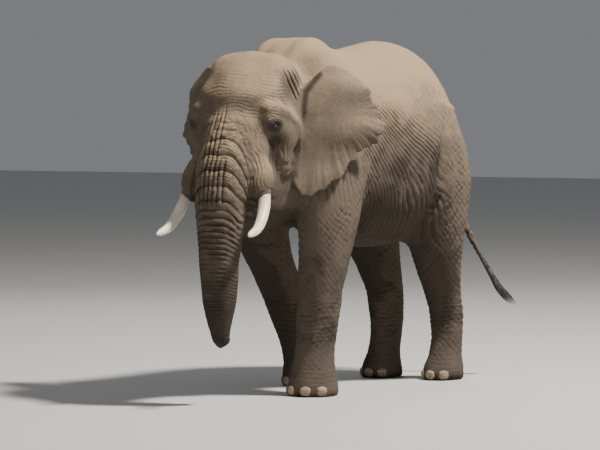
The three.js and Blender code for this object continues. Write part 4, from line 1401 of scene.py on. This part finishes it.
def hide_material(settings):
    """Grey-brown hide: dust and painted top light on the ridges and the back, painted shade below, in the
    hollows and in the folds and cracks, and fine cracks all over.
    """
    m = Finish("hide")
    place = m.object_place()
    wobble = m.noise(place, WOBBLES, 2.0) - 0.5
    breaks = m.noise(place, FOLD_BREAKS, 2.0)
    phases = [part for name in "abc" for part in m.attribute(f"folds_{name}").parts()]
    depths = [part for name in "abc" for part in m.attribute(f"depth_{name}").parts()]
    lines = None
    for phase, depth, sharp, sway, gate in zip(phases, depths, DRAWN, SWAYS, BREAKS):
        t = ((phase + wobble * sway).fract() * 2.0 - 1.0).size() ** sharp
        line = t * depth * breaks.between(*gate)
        lines = line if lines is None else lines + line
    swirl = m.node("ShaderNodeTexNoise", {}, {"Vector": place, "Scale": 26.0, "Detail": 2.0}, "Color")
    bent = m.node("ShaderNodeVectorMath", {"operation": "MULTIPLY_ADD"}, (swirl, (0.022,) * 3, place))
    cells = m.cracks(m.scaled(bent, (1.0, 1.0, 0.7)), CRACKS)
    fine_cells = m.cracks(bent, FINE_CRACKS)
    crackle = cells.between(0.0, 0.10, 1.0, 0.0)
    fine_crackle = fine_cells.between(0.0, 0.12, 1.0, 0.0)
    pores = m.noise(place, PORES, 2.0)
    blotch = m.noise(place, BLOTCHES, 4.0, 0.6)
    # The tones are dust with painted top light, painted shade, and the dark ring round the eyes.
    dust_and_top_light, painted_shade_and_mottle, eye = m.attribute("tone").parts()
    grain = m.noise(place, GRAIN, 4.0, 0.65)
    creases = lines.between(0.10, 0.95)

    # Dust, and painted top light: the lighter colour goes on the upward faces and high up.
    dust_and_light_share = (dust_and_top_light + (blotch - 0.5) * 0.7 + (grain - 0.5) * 0.45).between(0.15, 0.95)
    colour = m.mix(dust_and_light_share, tuple(settings.hide_colour), tuple(settings.dust_and_light_colour))
    # Painted shade of the underside, the legs, the lower trunk, the hollows and the flank.
    shade = (painted_shade_and_mottle + (blotch - 0.5) * 0.4).between(0.2, 1.0) * 0.78
    colour = m.mix(shade, colour, tuple(settings.painted_shade_colour))
    # Painted shade: the deepest shade, the folds and the cracks are darkened towards the fold colour.
    amounts = (painted_shade_and_mottle.between(0.75, 1.0) * 0.55, creases * 0.62, crackle * 0.16, fine_crackle * 0.10)
    for amount in amounts:
        colour = m.mix(amount, colour, tuple(settings.fold_shade_colour))
    # The dark wet skin round the eye, with painted shade in its sunken socket.
    colour = m.mix(eye * 0.85, colour, WET_SKIN_AND_SOCKET_SHADE)

    height = (lines * -1.0) - crackle * 0.12 - fine_crackle * 0.06 + pores * 0.05 + grain * 0.10
    rough = (0.93 - eye * 0.35) - creases * 0.05
    return m.set(
        Base_Color=colour,
        Roughness=rough,
        Normal=m.bump(height, 0.9, 0.011),
        Specular_IOR_Level=0.22,
    )


def ivory_material(settings):
    """Worn ivory: grain along its length, brown stain towards the lip, fine dark cracks."""
    m = Finish("ivory")
    grain = m.attribute("ivory_place")
    along, _, _ = grain.parts()
    place = m.object_place()
    stain = (along + (m.noise(place, 9.0, 4.0) - 0.5) * 0.35).between(0.62, 0.28)
    streaks = m.node(
        "ShaderNodeTexNoise",
        {},
        {"Vector": grain, "Scale": 9.0, "Detail": 5.0, "Distortion": 0.3},
        "Fac",
    )
    colour = m.mix(streaks.between(0.3, 0.8), tuple(settings.ivory_colour), OLD_IVORY)
    colour = m.mix(stain * 0.6, colour, tuple(settings.stain_colour))
    crack = m.cracks(m.scaled(grain, (0.35, 1.0, 1.0)), 7.0).between(0.0, 0.03, 1.0, 0.0)
    colour = m.mix(crack * 0.30 * stain.between(0.0, 0.6), colour, CRACKED_IVORY)
    height = streaks * 0.4 - crack * 0.5 + m.noise(place, 160.0, 2.0) * 0.15
    return m.set(
        Base_Color=colour,
        Roughness=streaks.between(0.2, 0.9, 0.30, 0.48),
        Normal=m.bump(height, 0.35, 0.0015),
        Specular_IOR_Level=0.45,
    )


def eye_material():
    """A dark wet eye: brown iris with fibres, a black pupil, a narrow pale rim."""
    m = Finish("eye")
    place = m.attribute("iris")
    radial, _, _ = place.parts()
    fibres = m.noise(place, 26.0, 3.0)
    iris = m.mix(fibres.between(0.2, 0.8), DARK_IRIS, LIGHT_IRIS)
    colour = m.mix(radial.between(0.20, 0.26), PUPIL, iris)
    colour = m.mix(radial.between(0.52, 0.60), colour, IRIS_EDGE)
    colour = m.mix(radial.between(0.74, 0.92), colour, EYE_WHITE)
    return m.set(
        Base_Color=colour,
        Roughness=radial.between(0.2, 1.0, 0.06, 0.14),
        Coat_Weight=1.0,
        Coat_Roughness=0.03,
        Specular_IOR_Level=0.5,
    )


def nail_material(settings):
    """Worn horn: pale growth bands, scuffed and dusty below."""
    m = Finish("toenail")
    place = m.object_place()
    bands = m.noise(m.scaled(place, (4.0, 4.0, 70.0)), 1.0, 3.0)
    scuff = m.noise(place, 38.0, 4.0)
    low = place.parts()[2].between(0.075, 0.02)
    colour = m.mix(bands.between(0.3, 0.7), tuple(settings.nail_colour), NAIL_BAND)
    dirt = (scuff.between(0.42, 0.75) * 0.5 + low * 0.5).least(1.0)
    colour = m.mix(dirt, colour, NAIL_DIRT)
    return m.set(
        Base_Color=colour,
        Roughness=scuff.between(0.3, 0.7, 0.5, 0.8),
        Normal=m.bump(bands * 0.7 + scuff * 0.4, 0.5, 0.003),
        Specular_IOR_Level=0.35,
    )


def hair_material(settings):
    """Black wiry hair with a dull blue sheen, paler where it is dusty."""
    m = Finish("tail_hair")
    place = m.object_place()
    mixed = m.noise(m.scaled(place, (60.0, 60.0, 9.0)), 1.0, 2.0)
    colour = m.mix(mixed.between(0.35, 0.75), tuple(settings.hair_colour), DUSTY_HAIR)
    return m.set(Base_Color=colour, Roughness=0.50, Specular_IOR_Level=0.35)


# ---------------------------------------------------------------- settings


def colour_setting(name, description, default):
    """A colour that the panel shows."""
    return bpy.props.FloatVectorProperty(
        name=name,
        description=description,
        size=4,
        subtype="COLOR",
        min=0.0,
        max=1.0,
        default=default,
    )


class HideSettings(bpy.types.PropertyGroup):
    """The hide's faces, folds and colours."""

    voxel: bpy.props.FloatProperty(
        name="Face size",
        description="Edge of the hide's faces before it is thinned",
        default=0.012,
        min=0.008,
        unit="LENGTH",
    )
    folds: bpy.props.FloatProperty(
        name="Fold depth", description="Depth of all folds, 1 as in life", default=1.0, min=0.0
    )
    triangles: bpy.props.IntProperty(
        name="Triangles", description="Most triangles the hide may have", default=196000
    )
    hide_colour: colour_setting("Hide", "Bare hide", rgb(104, 92, 80))
    # Dust, and painted top light on the upward faces and high up.
    dust_and_light_colour: colour_setting("Dust", "Dry dust on the hide", rgb(164, 141, 113))
    # Painted shade of the underside, the legs, the hollows and the flank goes towards this colour.
    painted_shade_colour: colour_setting("Underside", "Hide of the belly and legs", rgb(72, 64, 57))
    # Painted shade at the bottom of the folds and in the cracks.
    fold_shade_colour: colour_setting("Folds", "Bottom of the folds", rgb(46, 39, 33))


class IvorySettings(bpy.types.PropertyGroup):
    """The tusks."""

    radius: bpy.props.FloatProperty(
        name="Radius",
        description="Radius of a tusk at its lip",
        default=TUSK_RADIUS,
        unit="LENGTH",
    )
    ivory_colour: colour_setting("Ivory", "Clean ivory", rgb(255, 247, 231))
    stain_colour: colour_setting("Stain", "Stained ivory by the lip", rgb(168, 138, 100))


class NailSettings(bpy.types.PropertyGroup):
    """The toenails."""

    nail_colour: colour_setting("Toenail", "Worn horn", rgb(176, 160, 136))


class HairSettings(bpy.types.PropertyGroup):
    """The tail's hair."""

    strands: bpy.props.IntProperty(name="Strands", description="Hairs in the tail's tuft", default=440)
    width: bpy.props.FloatProperty(
        name="Thickness", description="Radius of a tuft's hair at its root", default=0.0022, unit="LENGTH"
    )
    hair_colour: colour_setting("Hair", "Hair of the tail", rgb(21, 23, 28))


class StageSettings(bpy.types.PropertyGroup):
    """The camera and the floor."""

    distance: bpy.props.FloatProperty(
        name="Camera distance",
        description="From the animal's middle to the camera",
        default=27.0,
        unit="LENGTH",
    )
    height: bpy.props.FloatProperty(
        name="Camera height", description="Above the floor", default=2.5, unit="LENGTH"
    )
    floor_colour: colour_setting("Floor", "Floor", (0.55, 0.54, 0.52, 1.0))


SETTINGS = {
    "elephant_hide": HideSettings,
    "elephant_ivory": IvorySettings,
    "elephant_nails": NailSettings,
    "elephant_hair": HairSettings,
    "elephant_stage": StageSettings,
}

# ---------------------------------------------------------------- operators


def care_at(p):
    """How closely the hide's faces are kept at points, most round the eyes."""
    q = to_head(p)
    flap, _ = ear(q)
    back, up, out = by_eye(q)
    off_temple = np.linalg.norm(np.abs(q) - np.abs(TEMPLE), axis=1)
    care = np.full(len(q), 0.10)
    care = np.maximum(care, 0.26 * ramp(q[:, 1], -0.25, -0.50))
    care = np.maximum(care, 0.5 * ramp(off_temple, 0.34, 0.26))
    care = np.maximum(care, 0.20 * ramp(np.abs(flap), 0.03, 0.01))
    care = np.maximum(care, 0.50 * ramp(np.linalg.norm(q - trunk_end, axis=1), 0.18, 0.10))
    return np.maximum(care, ramp(np.sqrt(back**2 + up**2 + out**2), 0.12, 0.06))


class ELEPHANT_OT_hide(bpy.types.Operator):
    """One folded skin over all of the animal's flesh, with its lids, lips and ears."""

    bl_idname = "elephant.hide"
    bl_label = "Hide"

    def execute(self, context):
        settings = context.scene.elephant_hide
        mesh = remeshed(core_mesh(), settings.voxel)
        edited(mesh, keep_outside)
        set_co(mesh, settle(co_of(mesh) + ORIGIN, passes=4, reach=0.02, fine=False) - ORIGIN)
        edited(mesh, smooth_all, refine_features)
        p = settle(co_of(mesh) + ORIGIN, passes=4, reach=0.008, fine=True)
        set_co(mesh, lower_lids(p) - ORIGIN)
        p = press_folds(co_of(mesh) + ORIGIN, normals_of(mesh), settings.folds)
        p[:, 2] = np.maximum(p[:, 2], 0.0)
        set_co(mesh, p - ORIGIN)
        made = thinned(mesh, 1 - care_at(p), settings.triangles)
        made.name = "hide"
        mark_hide(made)
        hide = add_object("hide", made)
        finish_piece(hide, hide_material(settings), FLESH)
        print("hide triangles", len(made.polygons))
        return {"FINISHED"}


def lofted(path, radius, sides, layer):
    """A closed tube along points, made by extruding a circle: (bmesh, rings of points)."""
    bm = bmesh.new()
    bm.verts.layers.float_vector.new(layer)
    ahead = (path[1] - path[0]).normalized()
    turn = ahead.to_track_quat("Z", "X").to_matrix().to_4x4()
    made = bmesh.ops.create_circle(
        bm, segments=sides, radius=radius[0], cap_ends=True, matrix=Matrix.Translation(path[0]) @ turn
    )
    ring = made["verts"]
    rings = [ring]
    for i in range(1, len(path)):
        edges = [e for e in bm.edges if e.verts[0] in ring and e.verts[1] in ring]
        grown = bmesh.ops.extrude_edge_only(bm, edges=edges)["geom"]
        ring = [g for g in grown if isinstance(g, bmesh.types.BMVert)]
        before, after = path[i - 1], path[min(i + 1, len(path) - 1)]
        now = (after - before).normalized()
        bend = ahead.rotation_difference(now).to_matrix().to_4x4()
        size = Matrix.Scale(radius[i] / radius[i - 1], 4)
        move = Matrix.Translation(path[i]) @ bend @ size @ Matrix.Translation(-before)
        bmesh.ops.transform(bm, matrix=move, verts=ring)
        ahead = now
        rings.append(ring)
    edges = [e for e in bm.edges if e.is_boundary]
    bmesh.ops.contextual_create(bm, geom=edges)
    bmesh.ops.recalc_face_normals(bm, faces=bm.faces[:])
    return bm, rings


class ELEPHANT_OT_tusks(bpy.types.Operator):
    """Two curved tusks with worn blunt tips."""

    bl_idname = "elephant.tusks"
    bl_label = "Tusks"

    def execute(self, context):
        settings = context.scene.elephant_ivory
        material = ivory_material(settings)
        shares = np.concatenate([np.linspace(0.004, 0.975, 48), [0.985, 0.992, 0.9965, 0.999, 1.0]])
        radii = tusk_radii(settings.radius, shares)
        tip = np.clip((1 - shares) / TUSK_POINT, 0, 1)
        radii = radii * np.sqrt(1 - (1 - tip) ** 2 * 0.96)
        for side, sign in (("left", 1), ("right", -1)):
            path = [Vector(point) for point in placed(np.column_stack(tusk_line(shares)), sign)]
            bm, rings = lofted(path, radii, 40, "ivory_place")
            place = bm.verts.layers.float_vector["ivory_place"]
            for share, ring in zip(shares, rings):
                for i, vert in enumerate(ring):
                    turn = 2 * math.pi * i / len(ring)
                    vert[place] = (share, 0.35 * math.cos(turn), 0.35 * math.sin(turn))
            name = f"tusk_{side}_ivory"
            finish_piece(add_object(name, mesh_of(bm, name)), material, [f"tusk_{side}"])
        return {"FINISHED"}


class ELEPHANT_OT_eyes(bpy.types.Operator):
    """Two wet eyes, with their irises turned out of the face."""

    bl_idname = "elephant.eyes"
    bl_label = "Eyes"

    def execute(self, context):
        material = eye_material()
        for side, sign in (("left", 1), ("right", -1)):
            centre = Vector(placed(EYE_AT, sign)[0])
            gaze = EYE_OUT - 0.10 * EYE_BACK - 0.05 * EYE_UP
            ends = from_head(np.array([EYE_AT * (sign, 1, 1), (EYE_AT + gaze) * (sign, 1, 1)]))
            turn = Vector(ends[1] - ends[0]).normalized().to_track_quat("Z", "Y").to_matrix().to_4x4()
            bm = bmesh.new()
            bmesh.ops.create_uvsphere(bm, u_segments=48, v_segments=32, radius=EYE_RADIUS)
            iris = bm.verts.layers.float_vector.new("iris")
            for vert in bm.verts:
                radial = math.hypot(vert.co.x, vert.co.y) / EYE_RADIUS
                radial = radial if vert.co.z > 0 else 2 - radial
                angle = math.atan2(vert.co.y, vert.co.x)
                vert[iris] = (radial, math.cos(angle), math.sin(angle))
                if radial < CORNEA:
                    vert.co.z += CORNEA_RISE * (1 - (radial / CORNEA) ** 2)
            bmesh.ops.transform(bm, matrix=Matrix.Translation(centre) @ turn, verts=bm.verts[:])
            name = f"eyeball_{side}"
            finish_piece(add_object(name, mesh_of(bm, name)), material, [f"eye_{side}"])
        return {"FINISHED"}


class ELEPHANT_OT_nails(bpy.types.Operator):
    """Four toenails on each forefoot and three on each hind foot."""

    bl_idname = "elephant.nails"
    bl_label = "Toenails"

    def execute(self, context):
        bm = bmesh.new()
        for name in LEGS:
            x, y, rx, ry = (float(v) for v in leg_sizes[name](np.array(NAIL_HEIGHT)))
            for turn in NAIL_TURNS[name[:4]]:
                a = math.radians(turn)
                outward = math.atan2(math.sin(a) / rx, math.cos(a) / ry)
                made = bmesh.ops.create_uvsphere(bm, u_segments=28, v_segments=18, radius=1.0)["verts"]
                for vert in made:
                    square = 1 + 0.16 * (1 - (vert.co.x**2 - vert.co.z**2) ** 2)
                    vert.co.x *= square
                    vert.co.z *= square if vert.co.z < 0 else 1.0
                across, along = rx * NAIL_SEAT * math.sin(a), ry * NAIL_SEAT * math.cos(a)
                at = Vector((x + across, y - along, NAIL_HEIGHT))
                spot = Matrix.Translation(at - Vector(ORIGIN)) @ Matrix.Rotation(outward, 4, "Z")
                size = Matrix.Diagonal((NAIL[0] * 0.9, NAIL[1] * 1.05, NAIL[2] * 0.95, 1.0))
                bmesh.ops.transform(bm, matrix=spot @ size, verts=made)
        material = nail_material(context.scene.elephant_nails)
        nodes = [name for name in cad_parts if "nail" in name]
        finish_piece(add_object("toenails", mesh_of(bm, "toenails")), material, nodes)
        return {"FINISHED"}


MAP_PATCH = 0.003  # width of one hair's patch of the OFBake map
LASHES = 34  # to each eye


def hair_mesh(name, strands, spots):
    """Tapered hairs as one mesh, each with its patch of the OFBake map at its root's place."""
    curve = bpy.data.curves.new(name, "CURVE")
    curve.dimensions = "3D"
    curve.bevel_depth = 1.0
    curve.bevel_resolution = 0
    curve.use_fill_caps = True
    for points, radii in strands:
        spline = curve.splines.new("POLY")
        spline.points.add(len(points) - 1)
        for point, place, radius in zip(spline.points, points, radii):
            point.co = (*place, 1.0)
            point.radius = radius
    holder = add_object(name, curve)
    mesh = evaluated(holder)
    bpy.data.objects.remove(holder)
    mesh.name = name
    while mesh.uv_layers:
        mesh.uv_layers.remove(mesh.uv_layers[0])
    layer = mesh.uv_layers.new(name="OFBake")
    per_hair = len(mesh.vertices) // len(strands)
    index = np.zeros(len(mesh.loops), int)
    mesh.loops.foreach_get("vertex_index", index)
    hair, step = index // per_hair, index % per_hair
    spots = np.array(spots)
    patch = np.column_stack([(step % 4) / 3 - 0.5, step / per_hair - 0.5]) * MAP_PATCH
    layer.data.foreach_set("uv", np.ascontiguousarray(spots[hair] + patch, np.float32).ravel())
    return mesh


class ELEPHANT_OT_hair(bpy.types.Operator):
    """The tail's tuft of wiry hair, and the lashes of the upper lids."""

    bl_idname = "elephant.hair"
    bl_label = "Hair"

    def execute(self, context):
        settings = context.scene.elephant_hair
        material = hair_material(settings)
        rng = np.random.default_rng(8)
        tuft_line = by_share(TAIL_HAIR)
        strands, spots = [], []
        for _ in range(settings.strands):
            root = rng.uniform(0.0, 1.0)
            start = 0.86 + 0.14 * root
            angle = rng.uniform(0, 2 * math.pi)
            x, y, z, r = (float(v) for v in tail_line(np.array(start)))
            across = np.array([math.cos(angle), 0.35 * math.cos(angle), 0.0]) * 0.8
            aside = across + np.array([0.0, math.sin(angle), 0.12 * math.sin(angle)])
            length = rng.uniform(0.55, 1.0)
            points = [np.array([x, y, z]) + aside * r * 0.8]
            for step in np.linspace(0.16, 1.0, 6):
                share = step * length * (0.72 + 0.28 * root)
                tx, ty, tz, tr = (float(v) for v in tuft_line(np.array(share)))
                spread = 1.2 * tr * (0.35 + 0.65 * rng.uniform(0.75, 1.0))
                points.append(np.array([tx, ty, tz]) + aside * spread)
            radii = settings.width * np.linspace(1.0, 0.15, len(points))
            strands.append(([p - ORIGIN for p in points], radii))
            spots.append((0.25 + 0.4 * angle / (2 * math.pi), 0.2 + 0.6 * root))
        tuft = add_object("tail_tuft_hair", hair_mesh("tail_tuft_hair", strands, spots))
        finish_piece(tuft, material, ["tail_tuft"])

        strands, spots = [], []
        for sign in (1, -1):
            for i in range(LASHES):
                f = EYE_SLIT[0] * (1.8 * i / (LASHES - 1) - 0.9)
                u = EYE_SLIT[1] * math.sqrt(1 - (f / EYE_SLIT[0]) ** 2)
                u = u + LID_SLANT * f - LID_ARCH * f * f
                out = math.sqrt(max(0.0, (EYE_RADIUS + 0.006) ** 2 - f * f - u * u))
                points = []
                reach = rng.uniform(0.022, 0.034)
                for step in np.linspace(0, 1, 5):
                    fan = f * (1 + 0.9 * step)
                    drop = u + 0.002 - reach * 0.55 * step**1.6
                    at = EYE_AT + fan * EYE_BACK + drop * EYE_UP + (out + reach * 0.85 * step) * EYE_OUT
                    points.append(placed(at, sign)[0])
                strands.append((points, 0.0006 * np.linspace(1.0, 0.2, len(points))))
                spots.append((0.8 + 0.05 * sign, 0.3 + 0.4 * i / (LASHES - 1)))
        lashes = add_object("lashes", hair_mesh("lashes", strands, spots))
        finish_piece(lashes, material)
        return {"FINISHED"}


LAMPS_AIM = (0.1, -0.3, 1.7)
# Place, width, power in watts, colour
LAMPS = {
    "key": ((9.6, 2.5, 17.6), 2.2, 8000.0, (1.0, 0.955, 0.89)),
    "fill": ((6.0, -17.0, 5.0), 9.0, 225.0, (1.0, 1.0, 1.0)),
    "rim": ((-9.0, 9.0, 9.0), 6.0, 300.0, (1.0, 1.0, 1.0)),
}
SKY = (0.80, 0.83, 0.88, 1.0)
SKY_STRENGTH = 0.25
CAMERA_LENS = 170.1  # millimetres, on a sensor 36 wide
CAMERA_SIDE = (0.6, -0.8, 0.0)  # from the animal towards the camera
CAMERA_ASIDE = 0.0148148148  # how far to the side of the animal's middle it looks, as a slope
CAMERA_DOWN = 0.0356261023  # and how steeply down


def lamp(name, place, size, power, colour):
    """A round soft light that shines on the animal."""
    data = bpy.data.lights.new(name, "AREA")
    data.shape = "DISK"
    data.size = size
    data.energy = power
    data.color = colour
    obj = add_object(name, data)
    obj.location = place
    obj.rotation_euler = (Vector(LAMPS_AIM) - Vector(place)).to_track_quat("-Z", "Y").to_euler()


class ELEPHANT_OT_stage(bpy.types.Operator):
    """A pale floor, soft light from high on the right, and the camera."""

    bl_idname = "elephant.stage"
    bl_label = "Stage"

    def execute(self, context):
        settings = context.scene.elephant_stage
        bm = bmesh.new()
        bmesh.ops.create_grid(bm, x_segments=8, y_segments=8, size=90.0)
        floor = add_object("floor", mesh_of(bm, "floor"))
        m = Finish("floor")
        grain = m.noise(m.object_place(), 3.0, 3.0)
        tint = tuple(settings.floor_colour)
        m.set(Base_Color=m.mix(grain * 0.06, tint, FLOOR_GRAIN), Roughness=0.95)
        floor.data.materials.append(m.material)

        world = bpy.data.worlds.new("studio")
        context.scene.world = world
        world.use_nodes = True
        world.node_tree.nodes["Background"].inputs["Color"].default_value = SKY
        world.node_tree.nodes["Background"].inputs["Strength"].default_value = SKY_STRENGTH
        for name, (place, size, power, colour) in LAMPS.items():
            lamp(name, place, size, power, colour)

        data = bpy.data.cameras.new("camera")
        data.lens = CAMERA_LENS
        data.sensor_width = 36.0
        data.clip_end = 300.0
        camera = add_object("camera", data)
        toward = Vector(CAMERA_SIDE)
        middle = Vector(-ORIGIN)
        camera.location = middle + toward * settings.distance + Vector((0, 0, settings.height))
        ahead = Matrix.Rotation(math.atan(CAMERA_ASIDE), 3, "Z") @ -toward
        ahead.z = -CAMERA_DOWN
        camera.rotation_euler = ahead.to_track_quat("-Z", "Y").to_euler()
        context.scene.camera = camera
        return {"FINISHED"}


OPERATORS = [
    ELEPHANT_OT_hide,
    ELEPHANT_OT_tusks,
    ELEPHANT_OT_eyes,
    ELEPHANT_OT_nails,
    ELEPHANT_OT_hair,
    ELEPHANT_OT_stage,
]


class VIEW3D_PT_elephant(bpy.types.Panel):
    """The elephant's pieces and their sizes."""

    bl_label = "Elephant"
    bl_space_type = "VIEW_3D"
    bl_region_type = "UI"
    bl_category = "Elephant"

    def draw(self, context):
        """Shows a button for each piece, then its settings."""
        for operator in OPERATORS:
            self.layout.operator(operator.bl_idname)
        for key, group in SETTINGS.items():
            column = self.layout.column()
            for name in group.__annotations__:
                column.prop(getattr(context.scene, key), name)


CLASSES = list(SETTINGS.values()) + OPERATORS + [VIEW3D_PT_elephant]


def register():
    """Adds the settings, operators and panel."""
    for cls in CLASSES:
        bpy.utils.register_class(cls)
    for key, group in SETTINGS.items():
        setattr(bpy.types.Scene, key, bpy.props.PointerProperty(type=group))


def unregister():
    """Takes them out again."""
    for key in SETTINGS:
        delattr(bpy.types.Scene, key)
    for cls in reversed(CLASSES):
        bpy.utils.unregister_class(cls)


def main():
    """Builds every piece."""
    register()
    bpy.ops.elephant.stage()
    bpy.ops.elephant.hide()
    bpy.ops.elephant.tusks()
    bpy.ops.elephant.eyes()
    bpy.ops.elephant.nails()
    bpy.ops.elephant.hair()


if __name__ == "__main__":
    main()
